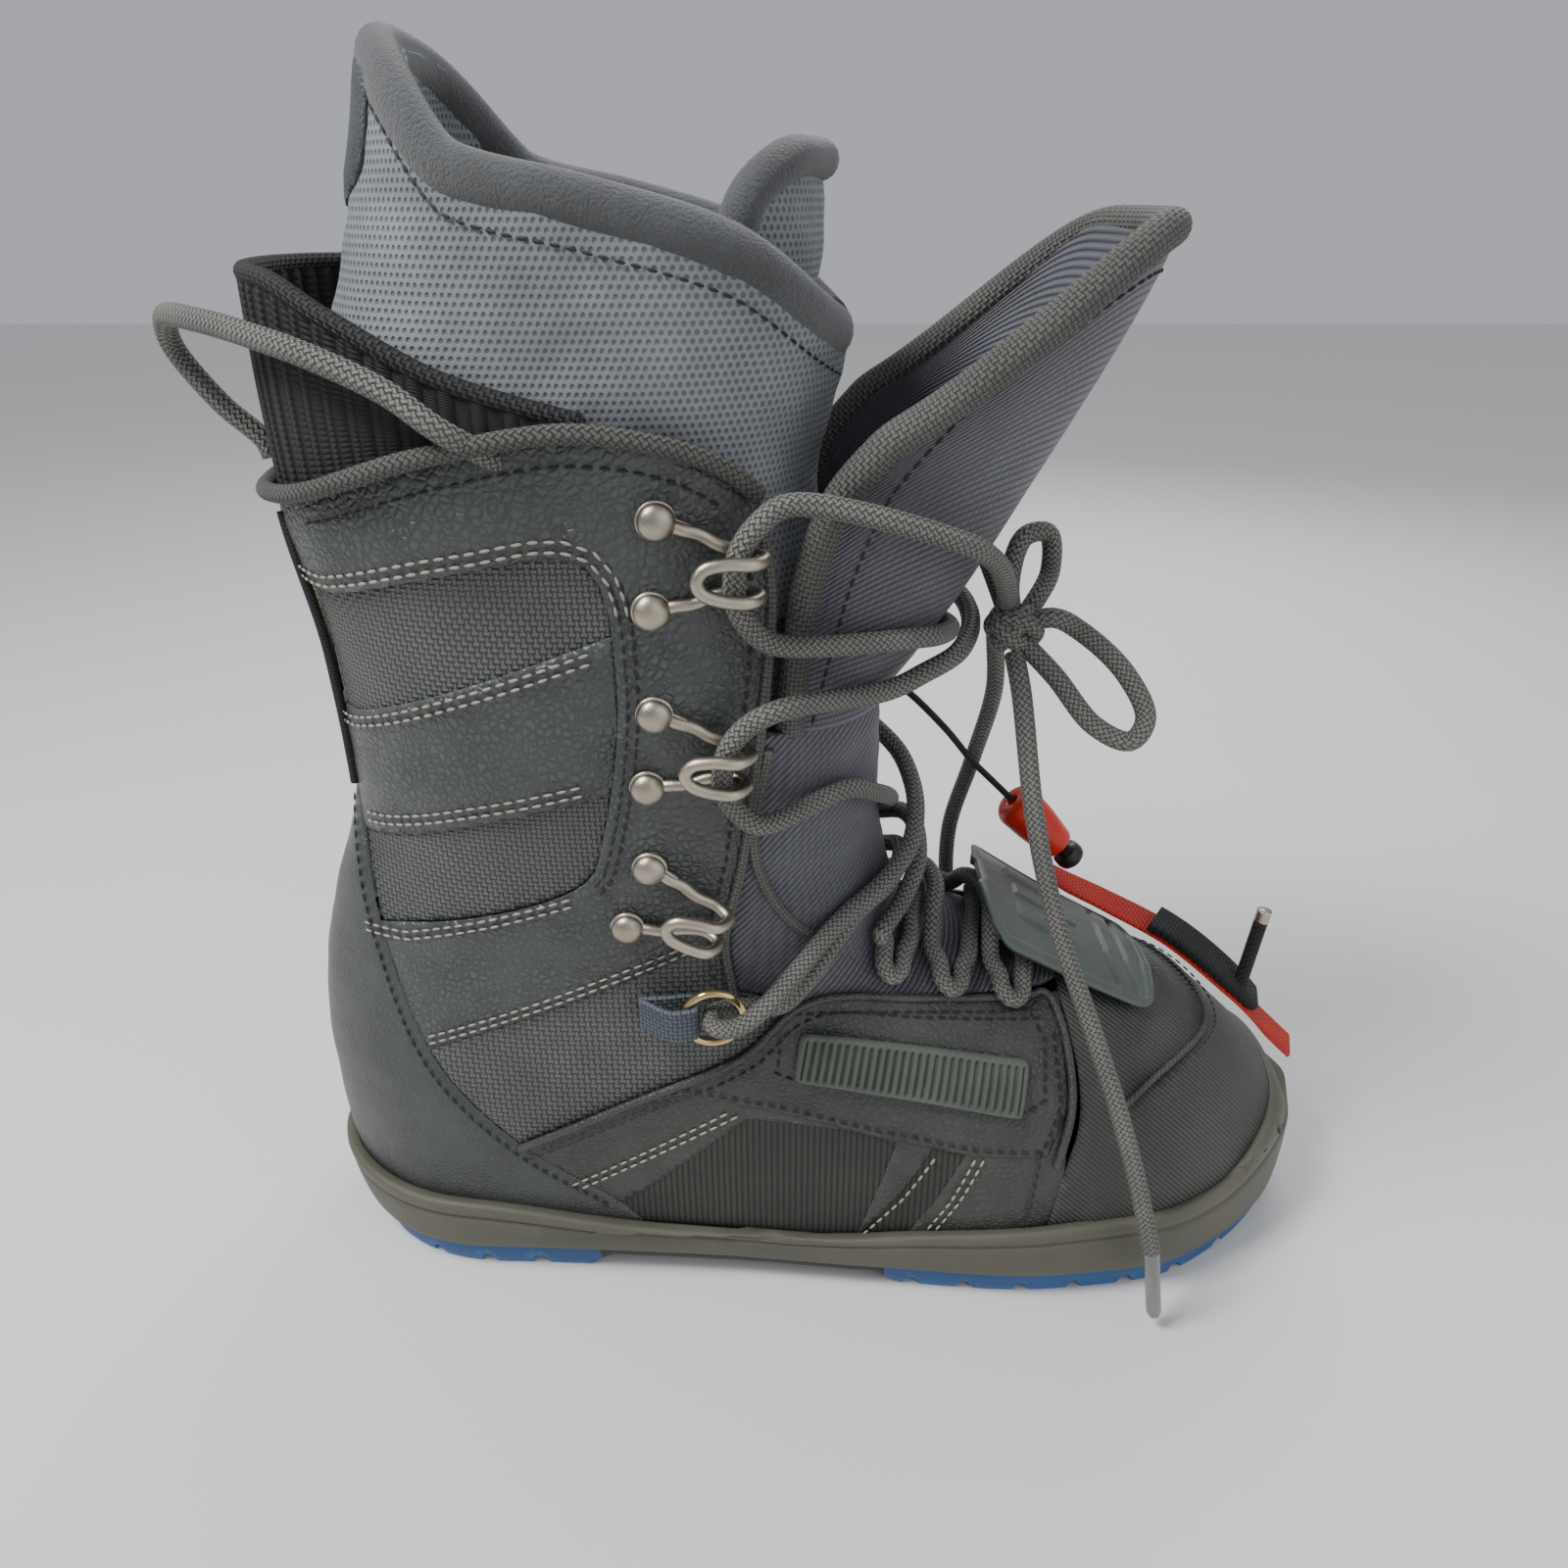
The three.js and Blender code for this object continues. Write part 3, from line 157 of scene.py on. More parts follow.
@dataclass(frozen=True)
class Finish:
    """Procedural material of a piece, with the pattern's pitch in millimetres and painted shade darkening the
    pattern's low parts.
    """

    name: str
    slot: str
    pattern: Pattern
    colour: tuple[int, int, int]
    rough: float = 0.6
    pitch: float = 2.0
    depth: float = 0.3
    # Share of the colour kept in the pattern's low parts: painted shade in creases, gaps between threads and
    # holes.
    valley: float = 0.55
    mottle: float = 0.25
    worn: float = 0.25
    metallic: float = 0.0
    sheen: float = 0.0
    transmission: float = 0.0
    cross: tuple[int, int, int] | None = None

    def height(self, n: Nodes) -> bpy.types.NodeSocket:
        """Builds the pattern's relief.

        Args:
            n: Tree to build in.

        Returns:
            Socket with the height, about 0 to 1.
        """
        place = n.add("TexCoord")
        if self.pattern in (Pattern.LEATHER, Pattern.FLEECE, Pattern.RUBBER, Pattern.PLASTIC, Pattern.METAL):
            return self.grain(n, place.outputs["Object"])
        uv = n.add("SeparateXYZ", {0: place.outputs["UV"]})
        u, v = uv.outputs["X"], uv.outputs["Y"]
        if self.pattern is Pattern.SPACER:
            k = 2 / self.pitch
            waves = [
                n.math("COSINE", n.math("MULTIPLY", n.math("ADD", n.math("MULTIPLY", u, a),
                                                           n.math("MULTIPLY", v, b)), k * math.pi))
                for a, b in ((0.0, 1.0), (0.866, 0.5), (0.866, -0.5))
            ]
            total = n.math("ADD", n.math("ADD", waves[0], waves[1]), waves[2])
            return n.add("MapRange", {0: total, 1: 2.4, 2: -0.2, 3: 0.0, 4: 1.0}).outputs[0]
        if self.pattern in (Pattern.RIB, Pattern.KNIT):
            along, over = (v, u) if self.pattern is Pattern.RIB else (u, v)
            main = n.math("ABSOLUTE", n.wave(along, self.pitch))
            small = n.math("ABSOLUTE", n.wave(over, self.pitch * 0.7))
            return n.math("MULTIPLY", main, n.math("MULTIPLY_ADD", small, 0.35, 0.65))
        if self.pattern is Pattern.TWILL:
            ridge = n.math("ABSOLUTE", n.wave(n.math("ADD", u, v), self.pitch))
            small = n.math("ABSOLUTE", n.wave(n.math("SUBTRACT", u, v), self.pitch * 0.6))
            return n.math("MULTIPLY", ridge, n.math("MULTIPLY_ADD", small, 0.4, 0.6))
        if self.pattern is Pattern.BRAID:
            u, v = n.math("ADD", u, v), n.math("SUBTRACT", u, v)
        a, b = n.wave(u, self.pitch), n.wave(v, self.pitch)
        over = n.math("GREATER_THAN", n.math("MULTIPLY", a, b), 0.0)
        picked = n.math("MULTIPLY", n.math("ABSOLUTE", a), over)
        other = n.math("MULTIPLY", n.math("ABSOLUTE", b), n.math("SUBTRACT", 1.0, over))
        return n.math("ADD", picked, other)

    def grain(self, n: Nodes, place: bpy.types.NodeSocket) -> bpy.types.NodeSocket:
        """Builds the relief of an unwoven surface.

        Args:
            n: Tree to build in.
            place: Coordinates in metres.

        Returns:
            Socket with the height, about 0 to 1.
        """
        scale = 1 / (self.pitch * MM)
        if self.pattern is Pattern.LEATHER:
            bend = n.add("TexNoise", {"Vector": place, "Scale": scale * 0.6, "Detail": 2.0})
            moved = n.add("VectorMath", {0: bend.outputs["Color"], 1: (0.35 / scale,) * 3},
                          operation="MULTIPLY")
            at = n.add("VectorMath", {0: place, 1: moved.outputs[0]}, operation="ADD")
            cells = n.add("TexVoronoi", {"Vector": at.outputs[0], "Scale": scale}, feature="DISTANCE_TO_EDGE")
            crease = n.add("MapRange", {0: cells.outputs["Distance"], 1: 0.0, 2: 0.3},
                           interpolation_type="SMOOTHSTEP").outputs[0]
            patchy = n.add("TexNoise", {"Vector": place, "Scale": scale * 0.16, "Detail": 1.0}).outputs[0]
            share = n.add("MapRange", {0: patchy, 1: 0.35, 2: 0.65, 3: 0.45, 4: 0.95}).outputs[0]
            return n.math("MULTIPLY_ADD", n.math("SUBTRACT", crease, 1.0), share, 1.0)
        stretch = (1.0, 1.0, 6.0) if self.pattern is Pattern.METAL else (1.0, 1.0, 1.0)
        at = n.add("Mapping", {"Vector": place, "Scale": stretch})
        return n.add("TexNoise", {"Vector": at.outputs[0], "Scale": scale, "Detail": 4.0,
                                  "Roughness": 0.6}).outputs[0]

    def material(self) -> bpy.types.Material:
        """Makes the finish's material on first use.

        Returns:
            The material.
        """
        made = bpy.data.materials.get(self.name)
        if made:
            return made
        made = bpy.data.materials.new(self.name)
        made.use_nodes = True
        made.node_tree.nodes.clear()
        n = Nodes(made)
        place = n.add("TexCoord").outputs["Object"]
        height = self.height(n)
        base = linear(self.colour)
        # Painted shade: the pattern's low parts (creases, gaps between threads, holes) take a darker copy of
        # the colour, unless a cross-thread colour is given.
        low = linear(self.cross) if self.cross else (*[c * self.valley for c in base[:3]], 1.0)
        tone = n.add("Mix", {0: height, 6: low, 7: base}, data_type="RGBA").outputs[2]
        cloud = n.add("TexNoise", {"Vector": place, "Scale": CLOUDS, "Detail": 5.0,
                                   "Roughness": 0.62}).outputs[0]
        shade = n.add("MapRange", {0: cloud, 1: 0.3, 2: 0.7, 3: 1 - self.mottle,
                                   4: 1 + self.mottle}).outputs[0]
        tinted = n.add("VectorMath", {0: tone, "Scale": shade}, operation="SCALE").outputs[0]
        edge = n.add("MapRange", {0: n.add("NewGeometry").outputs["Pointiness"], 1: 0.52, 2: 0.6, 3: 0.0,
                                  4: self.worn}).outputs[0]
        pale = (*[min(1.0, c * 2.2 + 0.03) for c in base[:3]], 1.0)
        coloured = n.add("Mix", {0: edge, 6: tinted, 7: pale}, data_type="RGBA").outputs[2]
        rough = n.add("MapRange", {0: cloud, 1: 0.25, 2: 0.75, 3: max(0.05, self.rough - 0.1),
                                   4: min(1.0, self.rough + 0.1)}).outputs[0]
        fine = n.add("TexNoise", {"Vector": place, "Scale": SPECKS, "Detail": 3.0}).outputs[0]
        soft = n.add("Bump", {"Height": fine, "Distance": 0.00008, "Strength": 0.6})
        bump = n.add("Bump", {"Height": height, "Distance": self.depth * MM, "Strength": 1.0,
                              "Normal": soft.outputs[0]})
        shader = n.add("BsdfPrincipled", {"Base Color": coloured, "Roughness": rough,
                                          "Metallic": self.metallic,
                                          "Normal": bump.outputs[0], "Sheen Weight": self.sheen,
                                          "Transmission Weight": self.transmission})
        n.add("OutputMaterial", {"Surface": shader.outputs[0]})
        return made


LEATHER = Finish("boot leather", "panel_leather", Pattern.LEATHER, (70, 73, 73), 0.36, 2.1, 0.36, 0.55)
SIDE_LEATHER = Finish("side leather", "panel_leather", Pattern.LEATHER, (60, 61, 58), 0.42, 1.8, 0.2, 0.6)
COUNTER = Finish("counter leather", "counter_leather", Pattern.LEATHER, (64, 67, 67), 0.45, 1.5, 0.16, 0.72)
MESH = Finish("window mesh", "window_mesh", Pattern.BASKET, (94, 96, 94), 0.6, 1.4, 0.5, 0.1)
SIDE_MESH = Finish("side mesh", "window_mesh", Pattern.KNIT, (62, 62, 58), 0.8, 1.8, 0.4, 0.3)
BALLISTIC = Finish("ballistic nylon", "ballistic_nylon", Pattern.BASKET, (96, 97, 96), 0.7, 1.7, 0.5, 0.18)
TONGUE = Finish("tongue nylon", "tongue_nylon", Pattern.RIB, (92, 93, 101), 0.6, 2.1, 0.45, 0.25, sheen=0.15)
BINDING = Finish("grosgrain binding", "tongue_nylon", Pattern.BASKET, (92, 91, 87), 0.75, 1.2, 0.4, 0.22)
TWILL = Finish("toe twill", "toe_twill", Pattern.TWILL, (72, 75, 70), 0.5, 2.0, 0.4, 0.35)
FOXING = Finish("foxing rubber", "foxing_rubber", Pattern.RUBBER, (86, 85, 72), 0.58, 0.7, 0.1, 0.8, 0.2)
BLUE = Finish("outsole blue", "outsole_rubber", Pattern.RUBBER, (30, 80, 134), 0.55, 0.9, 0.1, 0.75)
SHANK = Finish("shank rubber", "outsole_rubber", Pattern.RUBBER, (28, 29, 30), 0.6, 0.9, 0.1, 0.8)
LINER = Finish("spacer mesh", "liner_mesh", Pattern.SPACER, (122, 125, 129), 0.75, 1.7, 0.42, 0.5, sheen=0.1)
FLEECE = Finish("charcoal fleece", "liner_mesh", Pattern.FLEECE, (84, 86, 88), 0.95, 0.7, 0.7, 0.35, 0.3,
                sheen=0.35)
KNIT = Finish("black rib knit", "knit", Pattern.KNIT, (36, 36, 37), 0.85, 2.2, 0.7, 0.25)
LACE = Finish("lace braid", "lace_braid", Pattern.BRAID, (118, 117, 112), 0.7, 1.8, 0.6, 0.14)
PIPING = Finish("collar braid", "piping", Pattern.BRAID, (86, 85, 81), 0.8, 1.9, 0.5, 0.15)
BLACK_BRAID = Finish("black braid", "black_cord", Pattern.BRAID, (30, 30, 31), 0.7, 1.0, 0.25, 0.3)
NICKEL = Finish("satin nickel", "nickel", Pattern.METAL, (176, 168, 152), 0.36, 1.2, 0.06, 0.7, 0.2, 0.35,
                1.0)
BRASS = Finish("brass", "brass", Pattern.METAL, (186, 158, 112), 0.32, 1.2, 0.06, 0.7, 0.2, 0.3, 1.0)
GUARD = Finish("guard rubber", "guard_rubber", Pattern.RUBBER, (78, 87, 81), 0.45, 0.6, 0.09, 0.8)
GRIP = Finish("grip rubber", "grip_rubber", Pattern.RUBBER, (80, 88, 78), 0.45, 0.6, 0.09, 0.75)
RED_PLASTIC = Finish("red plastic", "red_plastic", Pattern.PLASTIC, (214, 38, 16), 0.36, 1.5, 0.06, 0.85,
                     0.12)
BLACK_PLASTIC = Finish("black plastic", "black_plastic", Pattern.PLASTIC, (22, 22, 23), 0.4, 1.0, 0.06, 0.7)
RED_WEBBING = Finish("red webbing", "red_webbing", Pattern.BASKET, (206, 38, 18), 0.7, 1.1, 0.35, 0.4)
BLACK_WEBBING = Finish("black webbing", "black_webbing", Pattern.BASKET, (26, 26, 27), 0.75, 1.1, 0.35, 0.4)
BLUE_WEBBING = Finish("blue-grey webbing", "blue_webbing", Pattern.BASKET, (84, 91, 100), 0.75, 1.3, 0.45,
                      0.18)
TAN = Finish("tan tape", "tan_tape", Pattern.BASKET, (118, 112, 88), 0.8, 1.2, 0.35, 0.4)
BOARD = Finish("fibre board", "board", Pattern.RUBBER, (58, 57, 54), 0.85, 0.8, 0.2, 0.6)
FOOTBED = Finish("footbed felt", "footbed", Pattern.FLEECE, (60, 62, 66), 0.9, 0.6, 0.4, 0.5)
AGLET = Finish("clear aglet", "clear_plastic", Pattern.PLASTIC, (150, 152, 148), 0.2, 2.0, 0.04, 0.85,
               transmission=0.45)
PALE_THREAD = Finish("pale thread", "lace_braid", Pattern.PLASTIC, (146, 143, 128), 0.7, 0.4, 0.1, 0.6)
DARK_THREAD = Finish("dark thread", "lace_braid", Pattern.PLASTIC, (20, 20, 21), 0.7, 0.4, 0.1, 0.6)


# ---------------------------------------------------------------- curves and meshes
class Profile:
    """Smooth curve through (t, value) pairs that never overshoots them."""

    def __init__(self, *pairs: tuple[float, float]) -> None:
        """Takes the pairs in rising t."""
        self.t, self.v = (np.array(row, float) for row in zip(*pairs))
        slope = np.diff(self.v) / np.diff(self.t)
        before, after = slope[:-1], slope[1:]
        even = before * after > 0
        inner = np.where(even, 2 * before * after / np.where(even, before + after, 1), 0)
        self.slope = np.concatenate([slope[:1], inner, slope[-1:]])

    def __call__(self, t: float | np.ndarray) -> np.ndarray:
        """Reads the curve, held level beyond its ends.

        Args:
            t: Place or places along it.

        Returns:
            The values there.
        """
        t = np.clip(np.asarray(t, float), self.t[0], self.t[-1])
        i = np.clip(np.searchsorted(self.t, t, side="right") - 1, 0, len(self.t) - 2)
        h = self.t[i + 1] - self.t[i]
        s = (t - self.t[i]) / h
        start = self.v[i] * (1 + 2 * s) * (1 - s) ** 2 + self.slope[i] * h * s * (1 - s) ** 2
        return start + self.v[i + 1] * s * s * (3 - 2 * s) + self.slope[i + 1] * h * s * s * (s - 1)


def spline(points: Outline, step: float) -> np.ndarray:
    """Runs a centripetal curve through points.

    Args:
        points: Points in two or three dimensions.
        step: Distance between the points returned.

    Returns:
        Evenly spaced points, ends included.
    """
    p = np.array([tuple(q) for q in points], float)
    p = np.vstack([2 * p[0] - p[1], p, 2 * p[-1] - p[-2]])
    rows = []
    for k in range(1, len(p) - 2):
        knots = np.concatenate([[0], np.cumsum([max(1e-6, np.linalg.norm(p[k + i] - p[k + i - 1])) ** 0.5
                                                for i in range(3)])])
        count = max(6, int(np.linalg.norm(p[k + 1] - p[k]) / step * 3))
        t = np.linspace(knots[1], knots[2], count, endpoint=False)[:, None]
        a = [((knots[i + 1] - t) * p[k - 1 + i] + (t - knots[i]) * p[k + i]) / (knots[i + 1] - knots[i])
             for i in range(3)]
        b = [((knots[i + 2] - t) * a[i] + (t - knots[i]) * a[i + 1]) / (knots[i + 2] - knots[i])
             for i in range(2)]
        rows.append(((knots[2] - t) * b[0] + (t - knots[1]) * b[1]) / (knots[2] - knots[1]))
    rows.append(p[-2:-1])
    return resample(np.vstack(rows), step)


def resample(path: np.ndarray, step: float) -> np.ndarray:
    """Returns evenly spaced points along a broken line, about step apart.

    Args:
        path: Points of the line.
        step: Distance wanted between the points.

    Returns:
        The points, ends included.
    """
    run = np.concatenate([[0], np.cumsum(np.linalg.norm(np.diff(path, axis=0), axis=1))])
    count = max(2, int(round(run[-1] / step)) + 1)
    at = np.linspace(0, run[-1], count)
    return np.stack([np.interp(at, run, path[:, k]) for k in range(path.shape[1])], axis=1)


def sheet_of(points: np.ndarray, u: np.ndarray, v: np.ndarray, closed: bool = False) -> bmesh.types.BMesh:
    """Shapes a grid onto an array of points.

    Args:
        points: Array of rows, columns and xyz.
        u: Texture length of each row, in millimetres.
        v: Texture length of each column.
        closed: True if the last column lies on the first.

    Returns:
        The mesh, with its texture lengths as UVs.
    """
    rows, columns = points.shape[0] - 1, points.shape[1] - 1
    mesh = bmesh.new()
    layer = mesh.loops.layers.uv.new("weave")
    bmesh.ops.create_grid(mesh, x_segments=rows, y_segments=columns, size=1)
    for vert in mesh.verts:
        i, j = round((vert.co.x + 1) / 2 * rows), round((vert.co.y + 1) / 2 * columns)
        for loop in vert.link_loops:
            loop[layer].uv = (u[i], v[j])
        vert.co = points[i, j]
    if closed:
        bmesh.ops.remove_doubles(mesh, verts=mesh.verts, dist=0.005)
    mesh.faces.ensure_lookup_table()
    return mesh


def frames_along(path: np.ndarray,
                 up: Sequence[float] | None = None) -> tuple[np.ndarray, np.ndarray, np.ndarray]:
    """Works out turning-free frames along a path.

    Args:
        path: Evenly spaced points.
        up: Direction that the second axis keeps towards, if any.

    Returns:
        Tangents and the two cross axes at each point.
    """
    along = np.gradient(path, axis=0)
    along /= np.linalg.norm(along, axis=1)[:, None]
    side = np.zeros_like(along)
    start = np.array(up if up is not None else (0.13, 0.31, 0.94), float)
    for k, tangent in enumerate(along):
        lean = start if up is not None or k == 0 else side[k - 1]
        side[k] = lean - tangent * (lean @ tangent)
        side[k] /= np.linalg.norm(side[k])
    return along, side, np.cross(along, side)


def tube(path: np.ndarray, radius: float | Callable[[float], tuple[float, float]], sides: int = 14,
         up: Sequence[float] | None = None, ring: bool = False) -> bmesh.types.BMesh:
    """Sweeps a round or oval section along a path.

    Args:
        path: Evenly spaced points.
        radius: Radius, or a function from 0..1 along the path to the two half sizes.
        sides: Facets round the section.
        up: Direction that the section's first half size keeps towards.
        ring: True if the path's end meets its start.

    Returns:
        Closed mesh.
    """
    half = radius if callable(radius) else (lambda t: (radius, radius))
    _, side, across = frames_along(path, up)
    turn = np.linspace(0, 2 * math.pi, sides + 1)
    sizes = np.array([half(t) for t in np.linspace(0, 1, len(path))])
    rows = path[:, None, :] + sizes[:, 0, None, None] * np.cos(turn)[None, :, None] * side[:, None, :] \
        + sizes[:, 1, None, None] * np.sin(turn)[None, :, None] * across[:, None, :]
    if ring:
        rows[-1] = rows[0]
    run = np.concatenate([[0], np.cumsum(np.linalg.norm(np.diff(path, axis=0), axis=1))])
    mesh = sheet_of(rows, run, turn * float(sizes.mean()), closed=True)
    if not ring:
        rims = [e for e in mesh.edges if e.is_boundary]
        bmesh.ops.holes_fill(mesh, edges=rims, sides=0)
    bmesh.ops.recalc_face_normals(mesh, faces=mesh.faces)
    return mesh


def join(parts: Sequence[bmesh.types.BMesh]) -> bmesh.types.BMesh:
    """Moves several meshes into the first one.

    Args:
        parts: Meshes to join; all but the first are freed.

    Returns:
        The first mesh.
    """
    whole = parts[0]
    for part in parts[1:]:
        data = bpy.data.meshes.new("joining")
        part.to_mesh(data)
        part.free()
        whole.from_mesh(data)
        bpy.data.meshes.remove(data)
    return whole


def lathe(profile: Outline, steps: int = 32, place: Matrix | None = None) -> bmesh.types.BMesh:
    """Spins (radius, height) pairs round the z axis.

    Args:
        profile: Pairs from one end of the axis to the other.
        steps: Facets round the axis.
        place: Transform to apply.

    Returns:
        Closed mesh.
    """
    mesh = bmesh.new()
    mesh.loops.layers.uv.new("weave")
    line = [mesh.verts.new((r, 0, h)) for r, h in profile]
    edges = [mesh.edges.new(pair) for pair in zip(line, line[1:])]
    bmesh.ops.spin(mesh, geom=[*line, *edges], axis=(0, 0, 1), cent=(0, 0, 0), steps=steps, angle=2 * math.pi,
                   use_merge=True)
    bmesh.ops.remove_doubles(mesh, verts=mesh.verts, dist=0.002)
    bmesh.ops.recalc_face_normals(mesh, faces=mesh.faces)
    if place is not None:
        bmesh.ops.transform(mesh, matrix=place, verts=mesh.verts)
        if place.determinant() < 0:
            bmesh.ops.reverse_faces(mesh, faces=mesh.faces)
    return mesh


def row_point(point: Sequence[float]) -> tuple[float, float, float]:
    """Moves a point of the boot's own frame into the row frame."""
    return ((point[0] - FRAME_X) * MM, point[1] * MM, point[2] * MM)


@dataclass
class Piece:
    """How a finished mesh is dressed and tied to the frame."""

    name: str
    finish: Finish
    body: str = "shell"
    replaces: tuple[str, ...] = ()
    solid: float = 0.0
    subdivide: int = 0
    bevel: float = 0.0
    more: tuple[Finish, ...] = ()

    def make(self, mesh: bmesh.types.BMesh) -> bpy.types.Object:
        """Turns the mesh into the piece's object.

        Args:
            mesh: Mesh in millimetres, in the boot's own frame; it is freed.

        Returns:
            The object, riding on its body.
        """
        bmesh.ops.translate(mesh, verts=mesh.verts, vec=(-FRAME_X, 0, 0))
        bmesh.ops.scale(mesh, verts=mesh.verts, vec=(MM, MM, MM))
        for face in mesh.faces:
            face.smooth = True
        data = bpy.data.meshes.new(self.name)
        mesh.to_mesh(data)
        mesh.free()
        made = bpy.data.objects.new(self.name, data)
        bpy.context.scene.collection.objects.link(made)
        for finish in (self.finish, *self.more):
            data.materials.append(finish.material())
        if self.solid:
            shell = made.modifiers.new("thickness", "SOLIDIFY")
            shell.thickness = self.solid * MM
            shell.offset = -1.0
        if self.bevel:
            edge = made.modifiers.new("edges", "BEVEL")
            edge.width = self.bevel * MM
            edge.segments = 2
            edge.limit_method = "ANGLE"
            edge.angle_limit = math.radians(40)
        if self.subdivide:
            fine = made.modifiers.new("fine", "SUBSURF")
            fine.levels = self.subdivide
            fine.render_levels = self.subdivide
        if self.replaces:
            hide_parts(*self.replaces)
        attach(made, self.body)
        LOG.info("%s: %d faces on %s", self.name, len(data.polygons), self.body)
        return made


# ---------------------------------------------------------------- form of the upper
BACK_X = Profile((0, -138), (20, -142), (45, -145), (70, -145), (100, -141), (120, -135), (165, -121),
                 (200, -121), (241, -125), (262, -119), (280, -110), (305, -101), (350, -90))
FRONT_X = Profile((85, 60), (100, 44), (115, 36), (130, 31), (153, 27), (180, 27), (205, 22), (243, 13),
                  (270, 19), (300, 24), (350, 20))
TOP_Z = Profile((-40, 118), (20, 117), (50, 108), (80, 98), (105, 89), (123, 80), (140, 67), (155, 53),
                (163, 44), (168, 34))
FOOT_HALF = Profile((-145, 34), (-110, 39), (-70, 40.5), (-20, 43), (30, 48), (80, 52.5), (115, 51.5),
                    (140, 47), (170, 40))
SHAFT_HALF = Profile((20, 36), (80, 40), (120, 42), (160, 45), (200, 48.5), (245, 52), (290, 53), (350, 50))
CENTRE_Y = Profile((-146, 0), (0, 0), (70, 1), (150, 7), (175, 8))
MIDSOLE_TOP = Profile((-152, 31), (-100, 30), (-40, 22), (0, 20), (50, 26), (90, 31), (135, 34), (160, 44),
                      (176, 50))
TOE_X, HEEL_ROUNDING, TOE_ROUNDING, WIDEST_Z = 168.0, 52.0, 66.0, 34.0


